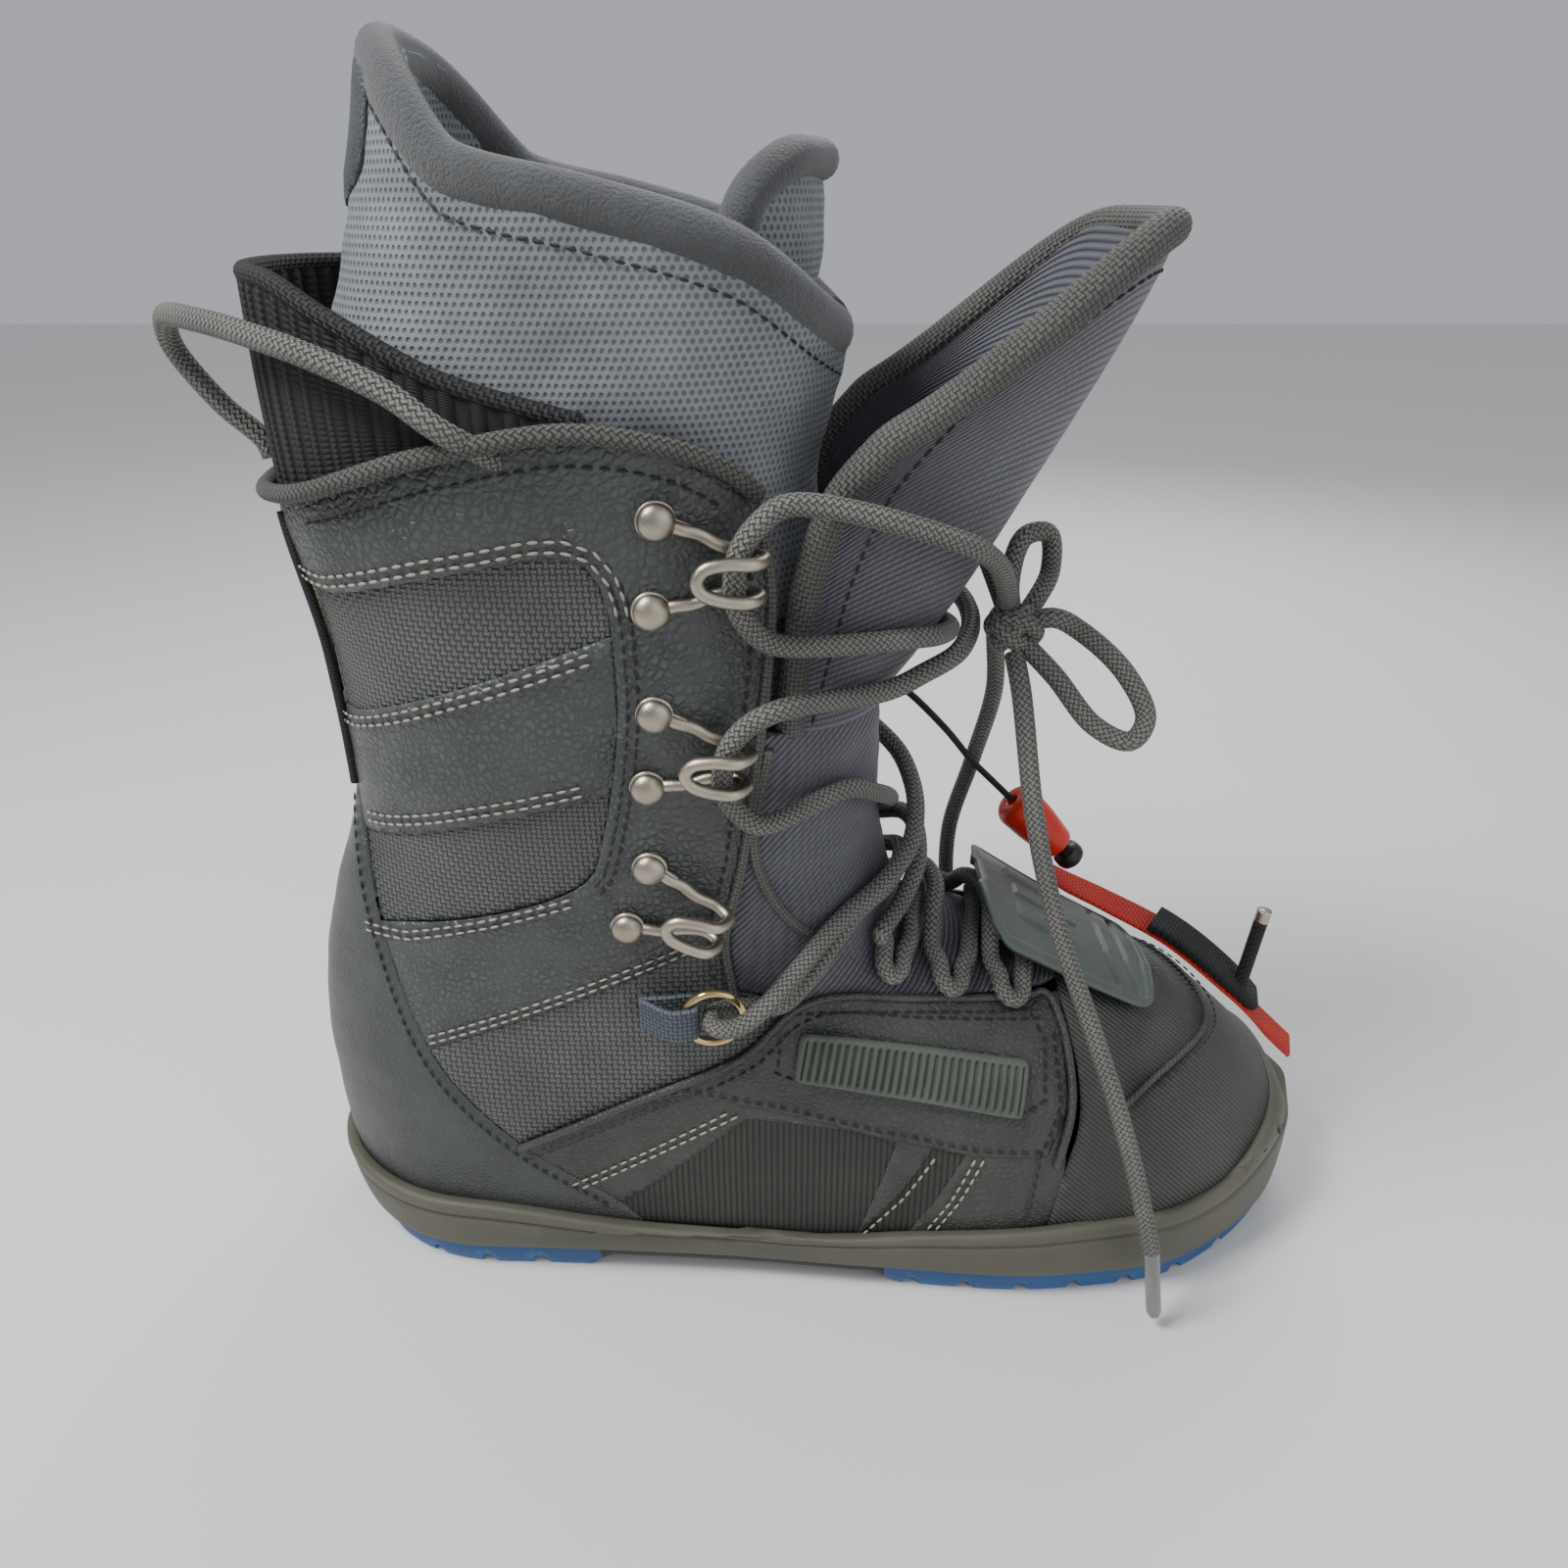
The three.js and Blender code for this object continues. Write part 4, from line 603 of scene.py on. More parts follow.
@dataclass
class Form:
    """The upper's outer form, as half widths over its side view."""

    voxel: float = 2.3
    skins: dict[tuple[float, float], bpy.types.Mesh] = field(default_factory=dict)
    tree: BVHTree | None = None

    def half_width(self, x: np.ndarray, z: np.ndarray, inset: float = 0.0) -> np.ndarray:
        """Measures half the form's width at points of its side view.

        Args:
            x: Places along the boot.
            z: Heights.
            inset: Distance in from the surface.

        Returns:
            Half-widths, 0 outside the form.
        """
        x, z = np.broadcast_arrays(np.asarray(x, float), np.asarray(z, float))
        back, top = BACK_X(z) + inset, TOP_Z(x) - inset
        heel = np.clip(1 - (x - back) / HEEL_ROUNDING, 0, 1)
        point = np.clip(1 - (TOE_X - inset - x) / TOE_ROUNDING, 0, 1)
        rise = np.clip((z - WIDEST_Z) / np.maximum(top - WIDEST_Z, 1e-6), 0, 1)
        tuck = 1 - 0.05 * np.clip(1 - z / WIDEST_Z, 0, None) ** 2
        foot = (FOOT_HALF(x) - inset) * tuck
        for share in (heel, point, rise):
            foot = foot * np.clip(1 - share ** 2.3, 0, None) ** (1 / 2.1)
        foot = np.where((x <= back) | (x >= TOE_X - inset) | (z >= top), 0, foot)
        front = FRONT_X(z) - inset
        u = np.clip(np.abs(2 * (x - back) / (front - back) - 1), 0, 1)
        shaft = np.where((x <= back) | (x >= front) | (z < 20), 0,
                         (SHAFT_HALF(z) - inset) * (1 - u ** 2.5) ** (1 / 2.1))
        return (foot ** 8 + shaft ** 8) ** (1 / 8)

    def front_at(self, z: np.ndarray, inset: float) -> np.ndarray:
        """Finds the front of the form at each height.

        Args:
            z: Heights.
            inset: Distance in from the surface.

        Returns:
            The foremost x at each.
        """
        low, high = np.full_like(z, -60.0), np.full_like(z, TOE_X + 40)
        for _ in range(40):
            middle = (low + high) / 2
            solid = self.half_width(middle, z, inset) > 0
            low, high = np.where(solid, middle, low), np.where(solid, high, middle)
        return low

    def height_at(self, x: np.ndarray, y: np.ndarray) -> np.ndarray:
        """Finds the form's top over points of the floor.

        Args:
            x: Places along the boot.
            y: Places across it.

        Returns:
            Heights of the top.
        """
        x, offset = np.asarray(x, float), np.abs(y - CENTRE_Y(x))
        low, high = np.full_like(x, WIDEST_Z), TOP_Z(x) - 0.2
        for _ in range(24):
            z = (low + high) / 2
            solid = self.half_width(x, z) > offset
            low, high = np.where(solid, z, low), np.where(solid, high, z)
        return low

    def outward(self, x: np.ndarray, z: np.ndarray, side: np.ndarray) -> np.ndarray:
        """Finds the form's normals at points of its side view.

        Args:
            x: Places along the boot.
            z: Heights.
            side: Sign of y.

        Returns:
            Unit vectors, xyz last.
        """
        slope_x = self.half_width(x + 0.5, z) - self.half_width(x - 0.5, z)
        slope_z = self.half_width(x, z + 0.5) - self.half_width(x, z - 0.5)
        normal = np.stack(np.broadcast_arrays(-slope_x, side, -slope_z), axis=-1).astype(float)
        return normal / np.linalg.norm(normal, axis=-1, keepdims=True)

    def girth(self, turn: np.ndarray, z: np.ndarray, inset: float, straight: float = 1000.0) -> np.ndarray:
        """Returns points round the form.

        Args:
            turn: Angles, 0 at the front and rising through the medial side.
            z: Height of each.
            inset: Distance in from the form.
            straight: Height above which the section stays the same.

        Returns:
            Array of points.
        """
        level = np.minimum(z, straight)
        back, front = BACK_X(level) + inset, self.front_at(level, inset)
        x = back + (front - back) * (1 + np.cos(turn)) / 2
        y = CENTRE_Y(x) + np.sign(np.round(np.sin(turn), 9)) * self.half_width(x, level, inset)
        return np.stack([x, y, z], axis=-1)

    def skin(self, inset: float = 0.0, straight: float = 1000.0) -> bmesh.types.BMesh:
        """Meshes the form evenly.

        Args:
            inset: Distance in from the surface.
            straight: Height above which the section stays the same.

        Returns:
            A new mesh.
        """
        if (inset, straight) not in self.skins:
            levels = np.arange(-14.0, 366.0, 2.0)
            turn = np.linspace(0, 2 * math.pi, 121)
            z, angle = np.meshgrid(levels, turn, indexing="ij")
            mesh = sheet_of(self.girth(angle, z, inset, straight), levels, turn, closed=True)
            bmesh.ops.holes_fill(mesh, edges=[e for e in mesh.edges if e.is_boundary], sides=0)
            bmesh.ops.recalc_face_normals(mesh, faces=mesh.faces)
            self.skins[inset, straight] = remeshed(mesh, self.voxel)
        mesh = bmesh.new()
        mesh.from_mesh(self.skins[inset, straight])
        for _ in range(2):
            bmesh.ops.smooth_vert(mesh, verts=mesh.verts, factor=0.5, use_axis_x=True, use_axis_y=True,
                                  use_axis_z=True)
        return mesh

    def surface(self) -> BVHTree:
        """Returns a search tree of the form itself."""
        if self.tree is None:
            mesh = self.skin()
            self.tree = BVHTree.FromBMesh(mesh)
            mesh.free()
        return self.tree

    def beside(self, x: float, z: float, hand: Hand) -> tuple[Vector, Vector]:
        """Finds the form's surface as seen from one side.

        Args:
            x: Place along the boot.
            z: Height.
            hand: Side of the boot.

        Returns:
            The point and its normal.
        """
        start = Vector((x, hand.value * 120, z))
        point, normal, _, _ = self.surface().ray_cast(start, Vector((0, -hand.value, 0)))
        if point is None:
            point, normal, _, _ = self.surface().find_nearest(Vector((x, 0, z)))
        return point, normal

    def above(self, x: float, y: float) -> tuple[Vector, Vector]:
        """Finds the form's surface as seen from above.

        Args:
            x: Place along the boot.
            y: Place across it.

        Returns:
            The point and its normal.
        """
        point, normal, _, _ = self.surface().ray_cast(Vector((x, y, 125.0)), Vector((0, 0, -1)))
        if point is None:
            point, normal, _, _ = self.surface().find_nearest(Vector((x, y, 80.0)))
        return point, normal


def remeshed(mesh: bmesh.types.BMesh, voxel: float) -> bpy.types.Mesh:
    """Rebuilds a closed mesh from even quads.

    Args:
        mesh: Closed mesh; it is freed.
        voxel: Size of the quads.

    Returns:
        Mesh data of the result.
    """
    data = bpy.data.meshes.new("form")
    mesh.to_mesh(data)
    mesh.free()
    holder = bpy.data.objects.new("form", data)
    bpy.context.scene.collection.objects.link(holder)
    modifier = holder.modifiers.new("remesh", "REMESH")
    modifier.mode = "VOXEL"
    modifier.voxel_size = voxel
    graph = bpy.context.evaluated_depsgraph_get()
    made = bpy.data.meshes.new_from_object(holder.evaluated_get(graph))
    bpy.data.objects.remove(holder)
    bpy.data.meshes.remove(data)
    return made


def inside(points: np.ndarray, outline: Outline) -> np.ndarray:
    """Tells which (x, z) points lie inside a closed outline.

    Args:
        points: Array of pairs.
        outline: Corners in order.

    Returns:
        Array of booleans.
    """
    ring = np.array([tuple(p) for p in outline], float)
    found = np.zeros(len(points), bool)
    for (xa, za), (xb, zb) in zip(ring, np.roll(ring, -1, axis=0)):
        crossing = (za > points[:, 1]) != (zb > points[:, 1])
        reach = xa + (xb - xa) * (points[:, 1] - za) / ((zb - za) or 1e-9)
        found ^= crossing & (points[:, 0] < reach)
    return found


def centres(mesh: bmesh.types.BMesh) -> np.ndarray:
    """Returns the centre of each face."""
    return np.array([f.calc_center_median() for f in mesh.faces], float).reshape(-1, 3)


def drop_faces(mesh: bmesh.types.BMesh, gone: np.ndarray) -> None:
    """Deletes the faces marked in an array of booleans."""
    faces = [f for f, g in zip(list(mesh.faces), gone) if g]
    bmesh.ops.delete(mesh, geom=faces, context="FACES")


def cut_out(mesh: bmesh.types.BMesh, keep: Sequence[Outline], drop: Sequence[Outline] = (),
            hand: Hand | None = None,
            seam: float = 0.3) -> bmesh.types.BMesh:
    """Cuts a panel from a form as a knife across its side view does.

    Args:
        mesh: Mesh of the form.
        keep: Outlines that the panel lies within.
        drop: Outlines cut away from it.
        hand: Side to keep, or None for both.
        seam: Distance from the boot's middle where a side ends.

    Returns:
        The same mesh.
    """
    spots = centres(mesh)
    wide = np.ones(len(spots), bool)
    for outline in keep:
        ring = np.array([tuple(p) for p in outline], float)
        wide &= np.all((spots[:, (0, 2)] > ring.min(0) - 6) & (spots[:, (0, 2)] < ring.max(0) + 6), axis=1)
    if hand:
        wide &= spots[:, 1] * hand.value > -6
    drop_faces(mesh, ~wide)
    if hand:
        bmesh.ops.bisect_plane(mesh, geom=[*mesh.verts, *mesh.edges, *mesh.faces], dist=1e-4,
                               plane_co=(0, hand.value * seam, 0), plane_no=(0, -hand.value, 0),
                               clear_outer=True)
    for outline in (*keep, *drop):
        ring = [tuple(p) for p in outline]
        for (xa, za), (xb, zb) in zip(ring, ring[1:] + ring[:1]):
            if math.hypot(xb - xa, zb - za) < 1e-6:
                continue
            x0, x1, z0, z1 = min(xa, xb) - 3, max(xa, xb) + 3, min(za, zb) - 3, max(za, zb) + 3
            near = set()
            for face in mesh.faces:
                c = face.verts[0].co
                if x0 < c.x < x1 and z0 < c.z < z1:
                    near.update((face, *face.edges, *face.verts))
            if near:
                bmesh.ops.bisect_plane(mesh, geom=list(near), dist=1e-4, plane_co=(xa, 0, za),
                                       plane_no=(zb - za, 0, xa - xb))
    spots = centres(mesh)[:, (0, 2)]
    kept = np.ones(len(spots), bool)
    for outline in keep:
        kept &= inside(spots, outline)
    for outline in drop:
        kept &= ~inside(spots, outline)
    drop_faces(mesh, ~kept)
    bmesh.ops.remove_doubles(mesh, verts=mesh.verts, dist=0.02)
    return mesh


def relief(mesh: bmesh.types.BMesh, lift: float, dip: float = 0.8, reach: float = 2.2,
           wrinkle: float = 0.25) -> bmesh.types.BMesh:
    """Raises a panel off its form, rolls its border down and wrinkles it.

    Args:
        mesh: The panel.
        lift: Height off the form.
        dip: How far the border lies below the rest.
        reach: Width of the rolled border.
        wrinkle: Height of the wrinkles.

    Returns:
        The same mesh.
    """
    mesh.normal_update()
    rim = [v.co.copy() for v in mesh.verts if v.is_boundary]
    near = KDTree(max(1, len(rim)))
    for i, co in enumerate(rim):
        near.insert(co, i)
    near.balance()
    moves = []
    for vert in mesh.verts:
        away = near.find(vert.co)[2] if rim else 99.0
        fold = noise.noise(Vector((vert.co.x * 0.05, vert.co.y * 0.05, vert.co.z * 0.11)))
        small = noise.noise(vert.co * 0.16)
        moves.append(lift - dip * math.exp(-away / reach) + wrinkle * (fold * 1.6 + small * 0.6)
                     * min(1.0, away / 5))
    for vert, move in zip(list(mesh.verts), moves):
        vert.co += vert.normal * move
    return mesh


def weave(mesh: bmesh.types.BMesh, place: Callable[[Vector], tuple[float, float]]) -> bmesh.types.BMesh:
    """Writes UVs, in millimetres, from each vertex's place.

    Args:
        mesh: The panel.
        place: Gives a vertex's place in the weave.

    Returns:
        The same mesh.
    """
    layer = mesh.loops.layers.uv.get("weave") or mesh.loops.layers.uv.new("weave")
    for face in mesh.faces:
        for loop in face.loops:
            loop[layer].uv = place(loop.vert.co)
    return mesh


def side_weave(co: Vector) -> tuple[float, float]:
    """Texture place on the sides: forward and up."""
    return co.x, co.z


def toe_weave(co: Vector) -> tuple[float, float]:
    """Texture place on the toe: forward and over the top."""
    return co.x + abs(co.y) * 0.3, co.z - abs(co.y - 7)


def round_weave(co: Vector) -> tuple[float, float]:
    """Texture place on the shaft: round the leg and up."""
    angle = math.atan2(co.y, co.x + 45)
    return angle * 58, co.z


def curve2(*points: tuple[float, float], step: float = 5.0) -> list[tuple[float, float]]:
    """Returns a smooth outline in side view through points."""
    return [tuple(p) for p in spline(points, step)]


def parallel(line: Outline, shift: float) -> np.ndarray:
    """Moves a line of the side view sideways.

    Args:
        line: Points of the line.
        shift: Distance, to the left of its run where positive.

    Returns:
        The moved points.
    """
    p = np.array([tuple(q) for q in line], float)
    run = np.gradient(p, axis=0)
    run /= np.maximum(np.linalg.norm(run, axis=1), 1e-9)[:, None]
    return p + shift * np.stack([-run[:, 1], run[:, 0]], axis=1)


# ---------------------------------------------------------------- outlines in side view
COUNTER_EDGE = curve2((-118, 162), (-112, 120), (-103, 83), (-78, 51), (-49, 28), (-38, 10))
FACING_EDGE = curve2((-3, 262), (-5, 243), (-3, 222), (-7, 178), (-11, 150), (-16, 125), (-14, 108))
WINDOW = curve2((-107, 222), (-72, 231), (-44, 233), (-39, 205), (-46, 160), (-52, 146), (-104, 128),
                (-124, 126), (-132, 170), (-124, 219), (-107, 222))
BAND = [(-140, 182), (-110, 189), (-42, 215), (-20, 223), (-24, 180), (-47, 172), (-116, 151), (-140, 146)]
ANKLE_TOP = [(-103, 85), (-62, 104), (-26, 121), (-12, 128)]
PIPED_EDGE = curve2((-79, 52), (-45, 70), (-11, 87), (5, 101), (40, 98), (83, 93))
CAP_EDGE = curve2((83, 93), (87, 70), (82, 45), (78, 10))
COLLAR_LINE = ((-140, 240), (-110, 246), (-75, 257), (-44, 262), (-20, 257), (-3, 243), (4, 225))
COLLAR = curve2(*COLLAR_LINE)
THROAT = [*FACING_EDGE, (5, 101), (40, 98), (90, 93), (90, 300), (0, 300)]
ANKLE = [*ANKLE_TOP, (-6, 101), (30, 60), (-60, 30), (-110, 60)]
LOWER = [*PIPED_EDGE, (83, 10), (-79, 10)]
CAP = [*CAP_EDGE, (180, 10), (180, 130), (83, 130)]
COUNTER_AREA = [*COUNTER_EDGE, (-160, 10), (-160, 162)]
ABOVE_COLLAR = [*COLLAR, (60, 225), (60, 320), (-180, 320), (-180, 240)]
RIM_LINE = ((-132, 348), (-104, 342), (-86, 334), (-66, 311), (-40, 305), (-12, 297), (8, 282), (30, 262))
RIM = curve2(*RIM_LINE)
UPPER_FLOOR = 12.0


@dataclass
class Thread:
    """Rows of stitches sewn along lines over the form."""

    form: Form
    length: float = 2.7
    pitch: float = 3.6
    thickness: float = 0.42

    def along(self, points: Sequence[tuple[Vector, Vector]]) -> bmesh.types.BMesh:
        """Sews one row.

        Args:
            points: Places and normals along the row, close together.

        Returns:
            Mesh of the stitches.
        """
        mesh = bmesh.new()
        mesh.loops.layers.uv.new("weave")
        path = np.array([tuple(p) for p, _ in points])
        run = np.concatenate([[0], np.cumsum(np.linalg.norm(np.diff(path, axis=0), axis=1))])
        for at in np.arange(self.pitch / 2, run[-1], self.pitch):
            k = min(len(points) - 2, int(np.searchsorted(run, at, side="right")) - 1)
            (a, up), (b, _) = points[k], points[k + 1]
            ahead = (b - a).normalized()
            if ahead.length < 0.5:
                continue
            side = up.cross(ahead).normalized()
            spot = a + ahead * (at - run[k])
            turn = Matrix((ahead, side, up)).transposed().to_4x4()
            size = Matrix.Diagonal((self.length / 2, self.thickness, self.thickness * 0.8, 1))
            place = Matrix.Translation(spot) @ turn @ size @ Matrix.Rotation(math.pi / 2, 4, "Y")
            bmesh.ops.create_uvsphere(mesh, u_segments=6, v_segments=4, radius=1, matrix=place)
        return mesh

    def row(self, line: Outline, hand: Hand, lift: float = 0.5) -> bmesh.types.BMesh:
        """Sews a row along a line in side view, on one side."""
        spots = resample(np.array([tuple(q) for q in line], float), 1.8)
        return self.along([(p + n * lift, n) for p, n in (self.form.beside(x, z, hand) for x, z in spots)])


# ---------------------------------------------------------------- upper
@dataclass
class Upper:
    """Leather, nylon and mesh panels of the boot's outside, with their seams."""

    form: Form
    wall: float = 1.8
    band_lift: float = -0.1
    mesh_lift: float = -1.5
    bumper_x: float = 136.0
    bumper_bow: float = 0.0165

    def cut(self, keep: Sequence[Outline], drop: Sequence[Outline] = (),
            hand: Hand | None = None) -> bmesh.types.BMesh:
        """Cuts a panel of the outer form."""
        return cut_out(self.form.skin(), keep, drop, hand)

    def build(self) -> None:
        """Makes every panel, its bindings and its stitches."""
        everywhere = [(-200, UPPER_FLOOR), (200, UPPER_FLOOR), (200, 280), (-200, 280)]
        counter = relief(self.cut([COUNTER_AREA, everywhere]), 0.35, 0.9, 2.5, 0.12)
        Piece("counter", COUNTER, replaces=("heel_counter",), solid=2.6).make(weave(counter, side_weave))
        toe = relief(self.cut([CAP, everywhere]), 0.2, 0.6, 2.0, 0.12)
        self.crease(toe)
        Piece("toe_cap_twill", TWILL, replaces=("toe_cap",), solid=2.4).make(weave(toe, toe_weave))
        for hand in Hand:
            self.side(hand)

    def crease(self, mesh: bmesh.types.BMesh) -> None:
        """Raises the toe's bumper cap over a curved line and presses shallow flex creases behind it.

        Args:
            mesh: Skin of the form.
        """
        mesh.normal_update()
        for vert in mesh.verts:
            x, y = vert.co.x, vert.co.y - float(CENTRE_Y(vert.co.x))
            line = self.bumper_x - self.bumper_bow * y * y
            step = 1 / (1 + math.exp(-(x - line) / 0.5))
            flex = math.exp(-((x - line + 16) / 4.0) ** 2) * 0.7
            vert.co += vert.normal * (1.2 * step - flex)
        rows = []
        for y in np.linspace(-47, 47, 120):
            spot, normal = self.form.above(self.bumper_x + 0.5 - self.bumper_bow * y * y, y + 6)
            rows.append((spot + normal * 1.3, normal))
        path = resample(np.array([tuple(p) for p, _ in rows]), 1.2)
        Piece("toe_cap_edge", TWILL).make(tube(path, 0.9, 10))
        seam = [(p + Vector((3.2, 0, -0.6)), n) for p, n in rows[6:-6]]
        Piece("toe_cap_stitches", DARK_THREAD).make(Thread(self.form).along(seam))

    def side(self, hand: Hand) -> None:
        """Makes the panels of one side.

        Args:
            hand: Side of the boot.
        """
        word, cut = hand.word, self.cut
        below = [(-200, UPPER_FLOOR), (100, UPPER_FLOOR), (100, 130), (-200, 130)]
        quarter = cut([[(-150, 80), (20, 80), (20, 270), (-150, 270)]],
                      [COUNTER_AREA, THROAT, ABOVE_COLLAR, LOWER, ANKLE, WINDOW], hand)
        relief(quarter, 0.45, 1.0, 2.0, 0.4)
        band = relief(cut([WINDOW, BAND], [COUNTER_AREA], hand), self.band_lift, 0.7, 1.6, 0.2)
        leather = weave(join([quarter, band]), side_weave)
        Piece(f"quarter_leather_{word}", LEATHER, replaces=(f"quarter_{word}",),
              solid=self.wall).make(leather)
        inset = relief(cut([WINDOW], [COUNTER_AREA], hand), self.mesh_lift, 0.0, 1.0, 0.15)
        Piece(f"window_weave_{word}", MESH, replaces=(f"window_mesh_{word}",),
              solid=1.4).make(weave(inset, side_weave))
        ankle = relief(cut([ANKLE], [COUNTER_AREA, LOWER, THROAT], hand), -0.1, 0.8, 2.0, 0.2)
        Piece(f"ankle_nylon_{word}", BALLISTIC, replaces=(f"ankle_panel_{word}",),
              solid=self.wall).make(weave(ankle, side_weave))
        hollow = [(-11, 64.5), (20, 61.5), (33, 58), (21, 14), (-66, 14)]
        strips = [[(44, 57), (53.5, 55.5), (46, 38), (34, 14), (20, 14), (34, 36)]]
        lower = relief(cut([LOWER, below], [COUNTER_AREA, CAP, hollow, *strips], hand), 0.15, 0.7, 2.0, 0.15)
        upper_band = [*PIPED_EDGE[:-1], (82, 88), (83, 70), (77, 55), (57, 55), (28.5, 60), (0, 67),
                      (-28, 73.5), (-46, 69.5)]
        top = relief(cut([LOWER, upper_band], [COUNTER_AREA, CAP], hand), 1.0, 0.8, 1.8, 0.12)
        leather = weave(join([lower, top]), side_weave)
        Piece(f"side_leather_{word}", SIDE_LEATHER, replaces=(f"side_panel_{word}",),
              solid=self.wall).make(leather)
        backing = weave(relief(cut([LOWER, [(-70, 12), (60, 12), (60, 70), (-12, 70)]], [COUNTER_AREA], hand),
                               -0.7, 0.0, 1.0, 0.1), side_weave)
        Piece(f"side_mesh_{word}", SIDE_MESH, solid=1.2).make(backing)
        self.edging(hand)
        self.sewing(hand)

    def run(self, line: Outline, hand: Hand, lift: float, step: float = 1.5) -> np.ndarray:
        """Returns points over the form along a line in side view."""
        points = [p + n * lift for p, n in (self.form.beside(x, z, hand) for x, z in spline(line, 3.0))]
        return spline([tuple(p) for p in points], step)

    def edging(self, hand: Hand) -> None:
        """Makes the rolled leather edge, the facing's binding and the back seam's cord.

        Args:
            hand: Side of the boot.
        """
        word = hand.word
        rolled = tube(self.run([*PIPED_EDGE[:-1], (81, 90), (84, 72), (80, 52)], hand, 0.7), 1.25, 12)
        Piece(f"rolled_edge_{word}", SIDE_LEATHER).make(rolled)
        facing = [(-4, 240), *FACING_EDGE[5:], (-10, 103), (1, 101.5)]
        bound = tube(self.run(facing, hand, 0.2), 1.3, 10)
        Piece(f"facing_binding_{word}", BINDING).make(bound)
        seam = [(-118.5, 239), (-116.5, 222), (-115.5, 200), (-115.5, 180), (-117, 163)]
        Piece(f"back_seam_cord_{word}", BLACK_BRAID).make(tube(self.run(seam, hand, 0.5), 1.3, 12))

    def sewing(self, hand: Hand) -> None:
        """Sews the rows of pale and dark thread of one side.

        Args:
            hand: Side of the boot.
        """
        thread = Thread(self.form)
        window_top = sorted({p for p in WINDOW if p[1] > 217 and p[0] > -119})
        window_front = [p for p in WINDOW if p[0] > -56 and 146 < p[1] < 231]
        low_left = [(-118, 124), (-104, 125.5), (-78, 134), (-54, 142.5)]
        lines = [
            (parallel(window_top, 2.0), 1), (parallel(window_top, 4.4), 1),
            ([(-116, 185.5), (-110, 187), (-80, 199), (-44, 212.5)], 0),
            ([(-116, 183), (-110, 184.6), (-80, 196.5), (-44, 210)], 0),
            ([(-113, 154.8), (-80, 165.5), (-49, 174)], 0), ([(-113, 157.2), (-80, 168), (-49, 176.5)], 0),
            (low_left, 1), ([(x, z - 2.4) for x, z in low_left], 1),
            ([(x, z + 2.2) for x, z in ANKLE_TOP[:-1]], 1), ([(x, z + 4.6) for x, z in ANKLE_TOP[:-1]], 1),
            ([(-62, 36), (-13, 66.5)], 2), ([(-65, 37), (-16, 67.5)], 2),
            ([(22, 18), (36, 38), (45.5, 56)], 2), ([(42, 22), (50, 38), (56, 54)], 2),
            ([(44.5, 22), (52.5, 38), (58.5, 54)], 2),
        ]
        lift = {0: 0.35, 1: 0.75, 2: 0.6}
        pale = [thread.row(line, hand, lift[kind]) for line, kind in lines]
        dark_lines = [
            (parallel(window_front, 2.4), 0.8), (parallel(window_front, 4.8), 0.8),
            ([(x + 1.5, z - 4.2) for x, z in PIPED_EDGE[:-2]], 1.4),
            ([(-44, 71.5), (-28, 75.5), (0, 69.5), (28.5, 62.5), (57, 57.5), (76, 57)], 1.4),
            ([(2, 99), (37, 95.5), (72, 92), (76, 86), (75.5, 72), (70, 69), (37, 73.5), (6, 78), (-2, 81),
              (-1, 92)], 1.4),
            ([(79, 87), (80.5, 70), (75, 56), (74, 44), (72, 24)], 1.2),
            (parallel([p for p in COUNTER_EDGE if p[1] > 30], -3.0)[1:], 0.6),
            (parallel([(-4, 238), *FACING_EDGE[5:]], -4.5), 0.8),
            (parallel([p for p in COLLAR if -112 < p[0] < -8], -7.0), 0.8),
        ]
        dark = [thread.row(line, hand, up) for line, up in dark_lines]
        Piece(f"pale_stitches_{hand.word}", PALE_THREAD).make(join(pale))
        Piece(f"dark_stitches_{hand.word}", DARK_THREAD).make(join(dark))


